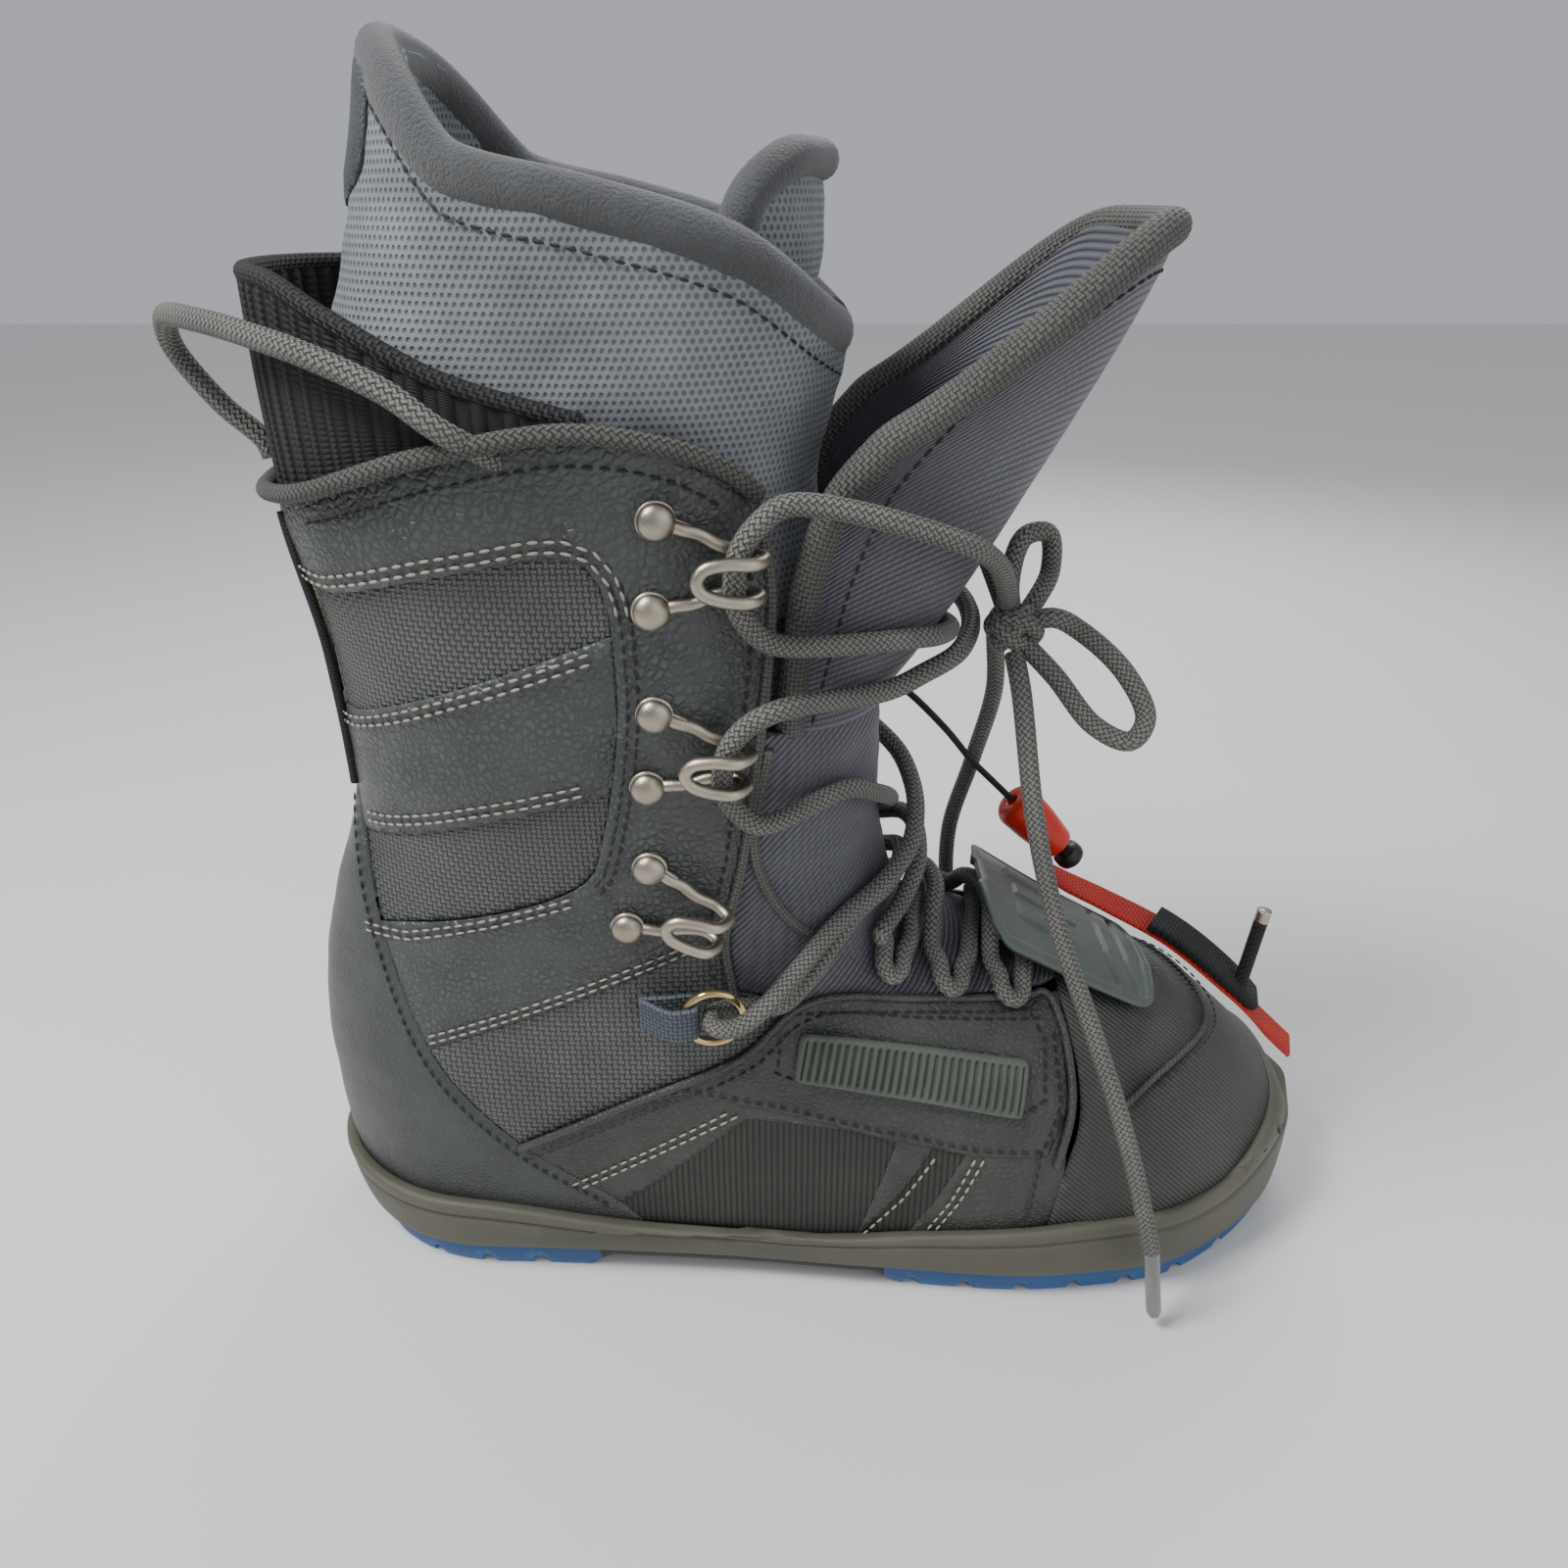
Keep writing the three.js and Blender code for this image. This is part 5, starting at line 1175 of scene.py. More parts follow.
@dataclass
class Sole:
    """Foxing, treaded outsole and the boards inside the boot."""

    form: Form
    foxing_low: float = 9.3
    foxing_out: float = 4.2
    sole_out: float = 2.7
    lug_pitch: float = 17.0
    lug_depth: float = 3.2
    groove: float = 4.0
    waist: tuple[float, float] = (-67.0, 36.0)

    def build(self) -> None:
        """Makes the foxing and the outsole, and dresses the boards."""
        self.foxing()
        self.outsole()
        for node, finish in (("lasting_board", BOARD), ("footbed", FOOTBED)):
            board = frame["nodes"][node]
            for place in board.material_slots:
                place.material = finish.material()

    def foxing(self) -> None:
        """Makes the rubber band round the foot, with a groove under its rolled top."""
        turn = np.linspace(0, 2 * math.pi, 321)
        x = self.form.girth(turn, np.full_like(turn, 20.0), -self.foxing_out)[:, 0]
        top, low = MIDSOLE_TOP(x), self.foxing_low
        section = [(0.0, 4.4), (0.0, 0.9), (0.03, 0.35), (0.07, 0.05), (0.2, -0.15), (0.4, -0.2), (0.6, 0.0),
                   (0.72, 0.15), (0.745, 0.75), (0.775, 0.75), (0.80, 0.15), (0.9, 0.1), (0.96, 0.4),
                   (0.99, 1.0), (1.0, 1.9), (0.99, 3.2), (0.97, 4.0)]
        rows = []
        for share, inward in section:
            z = low + (top - low) * share
            rows.append(self.form.girth(turn, z, -self.foxing_out + inward))
        points = np.stack(rows, axis=1)
        mesh = sheet_of(points, turn * 50, np.linspace(0, 40, len(section)), closed=False)
        bmesh.ops.remove_doubles(mesh, verts=mesh.verts, dist=0.02)
        bmesh.ops.recalc_face_normals(mesh, faces=mesh.faces)
        Piece("foxing", FOXING, replaces=("midsole",), solid=0.8).make(mesh)

    def lugged(self, x: np.ndarray) -> np.ndarray:
        """Tells which places along the sole have lugs."""
        return (x < self.waist[0]) | (x > self.waist[1])

    def tread(self, x: np.ndarray) -> np.ndarray:
        """Finds the height of the underside along the boot.

        Args:
            x: Places along the boot.

        Returns:
            Heights.
        """
        arch = 5.5 * np.clip((x + 63) / 8, 0, 1) * np.clip((36 - x) / 8, 0, 1)
        spring = Profile((128, 0), (150, 1.2), (170, 5.0), (185, 8.3))(x)
        phase = np.mod(x + 132, self.lug_pitch)
        groove = np.where((phase < self.groove) & self.lugged(x) & (x > -134), self.lug_depth, 0)
        return np.minimum(np.maximum(arch, groove + spring), 8.4)

    def outsole(self) -> None:
        """Makes the treaded outsole: a band round the edge closed by the tread below."""
        half = 260
        turn = np.linspace(0, 2 * math.pi, half * 2 + 1)
        edge = self.form.girth(turn, np.full_like(turn, 6.0), -self.sole_out)
        low = self.tread(edge[:, 0])
        band = []
        for share, out in ((1.0, 2.0), (1.0, 0.3), (0.7, 0.0), (0.35, 0.1), (0.08, 0.35), (0.0, 0.9)):
            ring = self.form.girth(turn, low + (9.0 - low) * share, out - self.sole_out)
            ring[:, 2] = low + (9.0 - low) * share
            band.append(ring)
        points = np.stack(band, axis=1)
        wall = sheet_of(points, turn * 50, np.linspace(0, 12, len(band)))
        lines = points[: half + 1, -1], points[half:, -1][::-1]
        share = np.linspace(0, 1, 33)[None, :, None]
        floor = lines[0][:, None, :] * (1 - share) + lines[1][:, None, :] * share
        cross = np.abs(np.mod(floor[:, :, 1] + 6, 24) - 12) < 1.6
        cross &= self.lugged(floor[:, :, 0]) & (np.abs(share[:, :, 0] - 0.5) < 0.4)
        floor[:, :, 2] = np.where(cross, np.maximum(floor[:, :, 2], self.lug_depth), floor[:, :, 2])
        under = sheet_of(floor, lines[0][:, 0], share[0, :, 0] * 90)
        mesh = join([wall, under])
        bmesh.ops.remove_doubles(mesh, verts=mesh.verts, dist=0.02)
        bmesh.ops.holes_fill(mesh, edges=[e for e in mesh.edges if e.is_boundary], sides=0)
        bmesh.ops.recalc_face_normals(mesh, faces=mesh.faces)
        for face in mesh.faces:
            if -58 < face.calc_center_median().x < 31:
                face.material_index = 1
        Piece("outsole_tread", BLUE, replaces=("outsole",), bevel=0.3, more=(SHANK,)).make(mesh)


# ---------------------------------------------------------------- liner, tongue and collar
@dataclass
class Liner:
    """The removable inner boot: spacer-mesh walls, a fleece-bound rim and a front lobe."""

    form: Form
    inset: float = 4.2
    wall: float = 8.4
    floor_z: float = 21.0
    rim: Profile = field(default_factory=lambda: Profile(*RIM_LINE))

    def build(self) -> None:
        """Makes the walls, the bindings and the front lobe."""
        rim_area = self.below_rim(0)
        room = [(-32, 215), (-32, 125), (-16, 100), (5, 95), (90, 88), (120, 88), (120, 215)]
        shaft = cut_out(self.form.skin(self.inset), [rim_area], [room])
        slit = [f for f in shaft.faces if abs(f.calc_center_median().y) < 1.6
                and f.calc_center_median().x > -20
                and f.calc_center_median().z > 176]
        bmesh.ops.delete(shaft, geom=slit, context="FACES")
        relief(shaft, 0.0, 0.4, 3.0, 0.5)
        weave(shaft, round_weave)
        front = weave(relief(cut_out(self.form.skin(7.6), [room, rim_area]), 0.0, 0.2, 3.0, 0.2), round_weave)
        Piece("liner_walls", LINER, replaces=("liner",), solid=self.wall).make(join([shaft, front]))
        path = self.rim_path(0.0, self.inset + self.wall / 2)
        Piece("liner_rim_binding", FLEECE).make(tube(path, lambda t: (6.0, 5.0), 18, up=(0, 0, 1)))
        seam = self.rim_path(-7.6, self.inset - 0.3)
        points = [(Vector(p), Vector((0, p[1], 0)).normalized()) for p in seam]
        Piece("liner_seam", DARK_THREAD).make(Thread(self.form, 2.4, 3.2, 0.4).along(points))
        self.lobe()
        self.patch()

    def below_rim(self, drop: float) -> Outline:
        """Returns the outline of the liner up to a line below its rim."""
        top = [(x, z - drop) for x, z in reversed(RIM)]
        return [(-180, self.floor_z), (60, self.floor_z), (60, 262), *top, (-180, 348 - drop)]

    def rim_path(self, drop: float, inset: float) -> np.ndarray:
        """Returns points along the rim, from the slit round the back to the slit again.

        Args:
            drop: Height above the rim's own line.
            inset: Distance in from the form.

        Returns:
            Evenly spaced points.
        """
        turn = np.linspace(2 * math.pi - 0.16, 0.16, 220)
        z = np.full_like(turn, 300.0)
        for _ in range(14):
            z = z * 0.4 + 0.6 * (self.rim(self.form.girth(turn, z, inset)[:, 0]) - 1.8 + drop)
        return resample(self.form.girth(turn, z, inset), 2.2)

    def lobe(self) -> None:
        """Makes the padded front lobe behind the tongue."""
        inset = 14.2
        outline = curve2((4, 152), (-6, 190), (-12, 240), (-14, 280), (-8, 306), (2, 314), (14, 312),
                         (24, 290), (30, 240), (30, 180), (24, 152), (4, 152))
        mesh = relief(cut_out(self.form.skin(inset), [outline]), -0.4, 1.2, 5.0, 0.5)
        Piece("liner_lobe", LINER, replaces=("liner_tongue",), solid=6.2).make(weave(mesh, round_weave))
        side = [(-11, 232), (-13.5, 262), (-13.4, 282), (-8, 304), (0, 311.5), (6, 312.5)]
        half = [(x, float(CENTRE_Y(x)) - float(self.form.half_width(x, z, inset + 2.6)), z) for x, z in side]
        path = spline([*half, (8.2, 0, 312.5), *[(x, -y, z) for x, y, z in reversed(half)]], 2.0)
        Piece("lobe_binding", FLEECE).make(tube(path, lambda t: (4.4, 4.4), 16))

    def patch(self) -> None:
        """Makes the leather patch high on the back."""
        outline = curve2((-140, 352), (-82, 352), (-82, 338), (-83, 322), (-88, 308), (-96, 303), (-140, 302),
                         step=4.0)
        mesh = relief(cut_out(self.form.skin(self.inset), [outline, self.below_rim(3)]), 1.3, 0.8, 1.5, 0.3)
        Piece("liner_back_patch", COUNTER, solid=1.0).make(weave(mesh, side_weave))


@dataclass
class Tongue:
    """The outer tongue: a lower part under the laces and a padded top that folds forward."""

    form: Form
    split_z: float = 186.0
    top_z: float = 299.0
    corner_drop: float = 42.0
    reach: float = 1.5
    half_low: float = 37.5
    flare: float = 7.5 / 110
    fold_z: float = 243.0
    thickness: float = 7.0
    front: Profile = field(default_factory=lambda: Profile((170, 27.5), (186, 29), (200, 37), (215, 47.5),
                                                           (241, 62), (272, 78), (300, 91)))
    edge: Profile = field(default_factory=lambda: Profile((170, -1.5), (190, -1), (215, 0), (241, 6),
                                                          (270, 32), (300, 58)))

    def flap(self, across: float, share: float, inward: float) -> Vector:
        """Returns a point of the free top.

        Args:
            across: Place across, -1 to 1.
            share: Height, 0 at the split and 1 at the top.
            inward: Depth below the outer face.

        Returns:
            The point.
        """
        corner = max(0.0, abs(across) - 0.35) / 0.65
        z = self.split_z + share * (self.top_z - self.corner_drop * corner ** 2.4 - self.split_z)
        return self.wrap(z, across * self.reach, inward)

    def wrap(self, z: float, angle: float, inward: float) -> Vector:
        """Finds a point round the free top.

        Args:
            z: Height.
            angle: Angle round from the front, rising through the medial side.
            inward: Depth below the outer face.

        Returns:
            The point.
        """
        edge = float(self.edge(z))
        half = self.half_low + self.flare * (z - self.split_z) - inward
        return Vector((edge + (float(self.front(z)) - edge - inward) * math.cos(angle) ** 0.9,
                       half * math.sin(angle), z))

    def build(self) -> None:
        """Makes both parts, their bindings and seams."""
        rear = [(x + 1.2, z) for x, z in FACING_EDGE if z < self.split_z]
        region = [(rear[0][0], 187.0), *rear, (6, 102.2), (40, 99), (90, 94), (100, 94), (100, 187.0)]
        lower = relief(cut_out(self.form.skin(), [region], [[(x - 0.35, z) for x, z in CAP]]), 0.0, 0.5, 2.0,
                       0.5)
        weave(lower, lambda co: (co.y * 1.15, co.z - co.x))
        Piece("tongue_instep", TONGUE, replaces=("tongue_lower",), solid=5.4).make(lower)
        columns, rows = np.linspace(-1, 1, 57), np.linspace(0, 1, 61)
        points = np.array([[self.pad(a, s) for s in rows] for a in columns])
        mesh = sheet_of(points, columns * 56, rows * 113)
        bmesh.ops.recalc_face_normals(mesh, faces=mesh.faces)
        self.facing(mesh)
        top = Piece("tongue_flap", TONGUE, replaces=("tongue_middle", "tongue_top"),
                    solid=self.thickness - 1.2).make(mesh)
        border = [(-1.0, s) for s in np.linspace(0.0, 1, 26)]
        border += [(a, 1.0) for a in np.linspace(-0.96, 0.96, 40)]
        border += [(1.0, s) for s in np.linspace(1, 0.0, 26)]
        path = spline([tuple(self.flap(a, s, 3.5)) for a, s in border], 2.0)
        bound = Piece("tongue_binding", BINDING).make(tube(path, lambda t: (4.5, 4.1), 16, up=None))
        inner = [(-0.885, s) for s in np.linspace(0.02, 0.9, 60)]
        inner += [(a, 0.925) for a in np.linspace(-0.86, 0.86, 70)]
        inner += [(0.885, s) for s in np.linspace(0.9, 0.02, 60)]
        rows_at = []
        for a, s in inner:
            spot = Vector(self.pad(a, s))
            out = (spot - Vector(self.pad(a, s, 3.0))).normalized()
            rows_at.append((spot + out * 0.25, out))
        seam = Piece("tongue_seam", DARK_THREAD).make(Thread(self.form, 2.6, 3.4, 0.4).along(rows_at))
        for piece in (top, bound, seam):
            self.bend(piece)
        for hand in Hand:
            line = [(-4, 184), (-8, 160), (-6, 145), (2, 129), (14, 117)]
            spots = [self.form.beside(x, z, hand) for x, z in spline(line, 2.0)]
            path = np.array([tuple(p + n * 0.4) for p, n in spots])
            Piece(f"tongue_tape_{hand.word}", BINDING).make(tube(resample(path, 2.0), 1.5, 10))

    def pad(self, across: float, share: float, deep: float = 0.0) -> tuple[float, float, float]:
        """Finds a point of the padded outer face, crowned between the bindings.

        Args:
            across: Place across, -1 to 1.
            share: Height, 0 at the split and 1 at the top.
            deep: Depth below the face.

        Returns:
            The point.
        """
        crown = (1 - across ** 6) * min(1.0, share * 6 + 0.3) * (1 - share ** 14)
        ripple = 0.35 * noise.noise(Vector((across * 2.2, share * 3.5, 0.4)))
        return tuple(self.flap(across, share, 1.6 - 1.9 * crown + ripple + deep))

    def facing(self, mesh: bmesh.types.BMesh) -> None:
        """Turns the flap's normals outward."""
        middle = min(mesh.faces, key=lambda f: (f.calc_center_median() - Vector(self.flap(0, 0.5, 0))).length)
        if middle.normal.x < 0:
            bmesh.ops.reverse_faces(mesh, faces=mesh.faces)

    def bend(self, piece: bpy.types.Object) -> None:
        """Detaches a piece from its body and bakes its place into its mesh.

        Args:
            piece: Object that spans the fold.
        """
        piece.parent = None
        del piece["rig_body"]
        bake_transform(piece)


@dataclass
class Collar:
    """Rear knit cuff, piping over the collar, tan strip and pull loop at the back."""

    form: Form
    level: float = 241.0
    top: Profile = field(default_factory=lambda: Profile((-142, 292), (-112, 291), (-95, 284), (-70, 272),
                                                         (-42, 264)))
    line: Profile = field(default_factory=lambda: Profile(*COLLAR_LINE))

    def build(self) -> None:
        """Makes the pieces of the collar."""
        back, front = float(BACK_X(self.level)), float(self.form.front_at(np.array([self.level]), 0.0)[0])
        start = math.acos(2 * (-42 - back) / (front - back) - 1)
        turn = np.linspace(start, 2 * math.pi - start, 520)
        ribs = 0.35 * np.cos(turn * 62)
        x = self.form.girth(turn, np.full_like(turn, self.level), 0.6)[:, 0]
        rows = []
        for share in np.linspace(0, 1, 22):
            z = (self.line(x) - 4) * (1 - share) + (self.top(x) - 1.0) * share
            rows.append(self.form.girth(turn, z, 0.7 + ribs - 0.5 * math.sin(share * math.pi), self.level))
        mesh = sheet_of(np.stack(rows, axis=1), turn * 46, np.linspace(0, 48, 22))
        self.outward(mesh)
        Piece("cuff_knit", KNIT, replaces=("rear_cuff",), solid=3.0).make(mesh)
        rim = self.form.girth(turn, self.top(x) - 1.0, 2.1, self.level)
        Piece("cuff_roll", BLACK_WEBBING).make(tube(resample(rim, 1.6), 2.2, 12))
        self.piping()
        self.strip()

    @staticmethod
    def outward(mesh: bmesh.types.BMesh) -> None:
        """Turns an open mesh round the leg so that it faces out.

        Args:
            mesh: The mesh.
        """
        mesh.normal_update()
        places = [(f.normal, f.calc_center_median()) for f in mesh.faces]
        score = sum(normal.dot(spot - Vector((-55, 0, spot.z))) for normal, spot in places)
        if score < 0:
            bmesh.ops.reverse_faces(mesh, faces=mesh.faces)

    def piping(self) -> None:
        """Makes the braided piping round the collar."""
        rim = []
        for hand in Hand:
            side = []
            for x in (-6, -12, -20, -32, -44, -56, -68, -80, -92, -102, -111, -118, -122, -123.8):
                level = min(float(self.line(x)), self.level + 4)
                y = float(CENTRE_Y(x)) + hand.value * float(self.form.half_width(x, level))
                lean = 0.004 * (x + 55) if x > -116 else -1
                away = Vector((lean, hand.value, 0)).normalized()
                spot = Vector((x, y, float(self.line(x)))) + away * 2.9
                side.append(tuple(spot))
            rim.append(side)
        back = (float(BACK_X(self.level)) - 3.0, 0.0, float(self.line(-125)))
        path = spline([*rim[0], back, *reversed(rim[1])], 1.4)
        Piece("collar_cord", PIPING, replaces=("collar_piping",)).make(tube(path, 2.2, 14))

    def strip(self) -> None:
        """Makes the tan strip down the back."""
        columns, rows = np.linspace(-7.5, 7.5, 17), np.linspace(176, 234, 45)
        points = np.zeros((17, 45, 3))
        for i, y in enumerate(columns):
            for j, z in enumerate(rows):
                spot, normal, _, _ = self.form.surface().ray_cast(Vector((-200, y, z)), Vector((1, 0, 0)))
                points[i, j] = spot + normal * (1.7 - 0.4 * abs(y / 7.5) ** 4)
        mesh = sheet_of(points, columns, rows)
        self.outward(mesh)
        Piece("backstay_tape", TAN, replaces=("backstay_strip",), solid=1.1).make(mesh)


# ---------------------------------------------------------------- hardware
@dataclass
class Mount:
    """Frame on the upper's side: a runs forward, b up and c away from the leather."""

    form: Form
    x: float
    z: float
    hand: Hand
    tilt: float = 0.0

    def on_side(self, x: float, z: float, out: float = 0.0) -> Vector:
        """Returns a point on the side of the form, out from it across the boot."""
        return Vector((x, float(CENTRE_Y(x)) + self.hand.value * (float(self.form.half_width(x, z)) + out),
                       z))

    @property
    def matrix(self) -> Matrix:
        """Works out where the fitting sits.

        Returns:
            Matrix from the fitting's own coordinates to the boot's.
        """
        along = (self.on_side(self.x + 2, self.z) - self.on_side(self.x - 2, self.z)).normalized()
        rise = (self.on_side(self.x, self.z + 2) - self.on_side(self.x, self.z - 2)).normalized()
        out = along.cross(rise).normalized()
        if out.y * self.hand.value < 0:
            out.negate()
        up = Matrix.Rotation(-math.radians(self.tilt) * self.hand.value, 3, out) @ rise
        forward = up.cross(out).normalized()
        if forward.x < 0:
            forward.negate()
        made = Matrix((forward, up, out)).transposed().to_4x4()
        made.translation = self.on_side(self.x, self.z)
        return made

    def points(self, local: Outline) -> list[tuple[float, float, float]]:
        """Returns local points in the boot's frame."""
        place = self.matrix
        return [tuple(place @ Vector(p)) for p in local]


@dataclass
class Hardware:
    """Lace hooks with their rivets, and the ankle rings in their webbing."""

    form: Form
    hooks: tuple[tuple[str, float, float, float], ...] = (("top", -29, 233, -6), ("mid", -32, 187, -8),
                                                          ("low", -38, 143, -20))
    spread: float = 10.2
    back: float = 11.3
    ring_radius: float = 8.2

    def build(self) -> None:
        """Makes the hooks and rings of both sides."""
        for hand in Hand:
            for name, x, z, tilt in self.hooks:
                self.hook(name, Mount(self.form, x, z, hand, tilt))
            self.ring(Mount(self.form, -20, 105, hand))

    def hook(self, name: str, mount: Mount) -> None:
        """Makes one hook: bent wire on two lugs, each under a domed rivet.

        Args:
            name: Name of the hook.
            mount: Where it sits.
        """
        s, top, place = self.spread, self.back, mount.matrix
        half = [(3.0, s * 0.93, 1.5), (5.4, s * 0.86, 2.0), (9.5, 8, 2.1), (14, 5.8, 2.1), (20, 4.6, 2.3),
                (23.6, 4.3, 6.2), (20.5, 4.3, top - 0.3), (14.5, 4.1, top), (9.6, 2.6, top - 0.3)]
        wire = [*half, (8.2, 0, top - 0.4), *[(a, -b, c) for a, b, c in reversed(half)]]
        parts = [tube(spline(mount.points(wire), 0.8), 1.6, 14)]
        for end in (s, -s):
            lug = [(0, 0.6), (4.2, 0.6), (4.6, 0.9), (4.6, 1.7), (4.2, 2.0), (0, 2.0)]
            parts.append(lathe(lug, 28, place @ Matrix.Translation((0, end, 0))))
            neck = spline(mount.points([(0.5, end * 0.99, 1.3), (4, end * 0.92, 1.4),
                                        (7.6, end * 0.84, 1.9)]), 0.8)
            out = tuple(place.to_3x3() @ Vector((0, 0, 1)))
            parts.append(tube(neck, lambda t: (0.7 + 0.7 * t, 2.1 - 0.5 * t), 12, up=out))
            dome = [(0, 2.35), (4.1, 2.35), (4.3, 2.6), (4.25, 3.0), (3.9, 3.7), (3.2, 4.4), (2.2, 4.95),
                    (1.1, 5.2), (0, 5.3)]
            word = "upper" if end > 0 else "lower"
            Piece(f"rivet_cap_{name}_{word}_{mount.hand.word}", NICKEL,
                  replaces=(f"rivet_{name}_{word}_{mount.hand.word}",)) \
                .make(lathe(dome, 32, place @ Matrix.Translation((0, end, 0))))
        Piece(f"lace_hook_{name}_{mount.hand.word}", NICKEL,
              replaces=(f"hook_{name}_{mount.hand.word}",)).make(join(parts))

    def ring(self, mount: Mount) -> None:
        """Makes the brass ring and the webbing that holds it.

        Args:
            mount: Where it sits.
        """
        word = mount.hand.word
        turn = np.linspace(0, 2 * math.pi, 65)
        circle = [(self.ring_radius * math.cos(t), self.ring_radius * math.sin(t), 7.0) for t in turn]
        ring = tube(np.array(mount.points(circle)), 1.2, 14, ring=True)
        Piece(f"lace_ring_{word}", BRASS, f"ring_{word}", (f"ring_{word}",)).make(ring)
        band = spline([(-20.2, 1.9), (-12, 1.9), (-6, 1.8), (-4.2, 3.2), (-3.9, 6.5), (-4.6, 9.4),
                       (-7.5, 10.2), (-12.2, 10.0), (-20.2, 3.6)], 0.7)
        across = np.linspace(-4.9, 4.9, 13)
        place = mount.matrix
        points = np.array([[tuple(place @ Vector((a, b, c))) for b in across] for a, c in band])
        mesh = sheet_of(points, np.arange(len(band)) * 0.7, across)
        mesh.normal_update()
        spot = mesh.faces[0]
        if spot.normal.dot(place.to_3x3() @ Vector((0, 0, 1))) > 0:
            bmesh.ops.reverse_faces(mesh, faces=mesh.faces)
        Piece(f"ring_tape_{word}", BLUE_WEBBING, replaces=(f"ring_webbing_{word}",), solid=1.3).make(mesh)


@dataclass
class Rubber:
    """Moulded rubber details: the ribbed grips on the sides and the lace guard on the instep."""

    form: Form
    ribs: int = 27
    grip_length: float = 67.0
    grip_height: float = 15.0
    grip_at: tuple[float, float] = (37.0, 82.0)
    ribbed: tuple[float, float] = (0.955, 0.8)
    slope: float = math.radians(-9.5)

    def build(self) -> None:
        """Makes both grips and the guard."""
        for hand in Hand:
            self.grip(hand)
        self.guard()

    def grip(self, hand: Hand) -> None:
        """Makes one grip: ribs within a raised rim.

        Args:
            hand: Side of the boot.
        """
        mount = Mount(self.form, *self.grip_at, hand)
        columns, rows = np.linspace(-1, 1, self.ribs * 10 + 31), np.linspace(-1, 1, 25)
        points = np.zeros((len(columns), len(rows), 3))
        for i, u in enumerate(columns):
            for j, v in enumerate(rows):
                a, b = u * self.grip_length / 2, v * self.grip_height / 2
                a, b = a * (1 - 0.02 * v ** 8), b * (1 - 0.1 * abs(u) ** 40)
                ribbed = abs(u) < self.ribbed[0] and abs(v) < self.ribbed[1]
                comb = 0.5 + 0.5 * math.cos((u / self.ribbed[0]) * math.pi * self.ribs)
                high = 0.3 + 1.1 * min(1.0, comb * 1.6) if ribbed else 1.5
                edge = max(abs(u) ** 60, abs(v) ** 14)
                x = self.grip_at[0] + a * math.cos(self.slope) - b * math.sin(self.slope)
                z = self.grip_at[1] + a * math.sin(self.slope) + b * math.cos(self.slope)
                points[i, j] = mount.on_side(x, z, 2.9 + high - 1.2 * edge)
        mesh = sheet_of(points, columns * 33, rows * 7.5)
        mesh.normal_update()
        if mesh.faces[len(mesh.faces) // 2].normal.y * hand.value < 0:
            bmesh.ops.reverse_faces(mesh, faces=mesh.faces)
        Piece(f"ribbed_grip_{hand.word}", GRIP, replaces=(f"side_grip_{hand.word}",), solid=2.6).make(mesh)

    def emboss(self, u: float, v: float) -> float:
        """Shapes the guard's relief: a rim, two curved grooves and three plain bars.

        Args:
            u: Place along the guard, 0 to 1.
            v: Place across it, -1 to 1.

        Returns:
            Height of the relief.
        """
        high = 0.7 * min(1.0, max(0.0, (max(abs(2 * u - 1), abs(v)) - 0.86) / 0.04))
        for line in (0.74, 0.86):
            away = abs(u - line - 0.09 * v * v + 0.03)
            high -= 1.3 * max(0.0, 1 - away / 0.022) if abs(v) < 0.82 else 0.0
        for k in (-0.42, 0.0, 0.42):
            if abs(v - k) < 0.11 and 0.2 < u < 0.56 - 0.1 * abs(k):
                high += 0.8
        return high

    def guard(self) -> None:
        """Makes the guard over the lowest laces."""
        columns, rows = np.linspace(0, 1, 121), np.linspace(-1, 1, 91)
        u, v = np.meshgrid(columns, rows, indexing="ij")
        narrow = np.sqrt(1 - 0.34 * np.clip((np.abs(2 * u - 1) - 0.7) / 0.3, 0, None) ** 2.5)
        x = 54 + 58 * u + 3.0 * (1 - v * v) * (2 * u - 1)
        y = CENTRE_Y(x) + v * 23.5 * narrow
        z = self.form.height_at(x, y)
        normal = self.form.outward(x, z, np.where(y < CENTRE_Y(x), -1, 1)) + np.array((0.66, 0, 1.35))
        normal /= np.linalg.norm(normal, axis=-1, keepdims=True)
        edge = np.maximum(np.abs(2 * u - 1) ** 24, np.abs(v) ** 20)
        shape = np.vectorize(self.emboss)(u, v)
        lift = 0.9 + 14.6 * (1 - u) ** 1.3 + 2.9 - 1.0 * edge + shape
        points = np.stack([x, y, z], axis=-1) + normal * lift[..., None]
        mesh = sheet_of(points, columns * 58, rows * 24)
        mesh.normal_update()
        if mesh.faces[len(mesh.faces) // 2].normal.z < 0:
            bmesh.ops.reverse_faces(mesh, faces=mesh.faces)
        Piece("guard_cover", GUARD, replaces=("lace_guard",), solid=2.9).make(mesh)


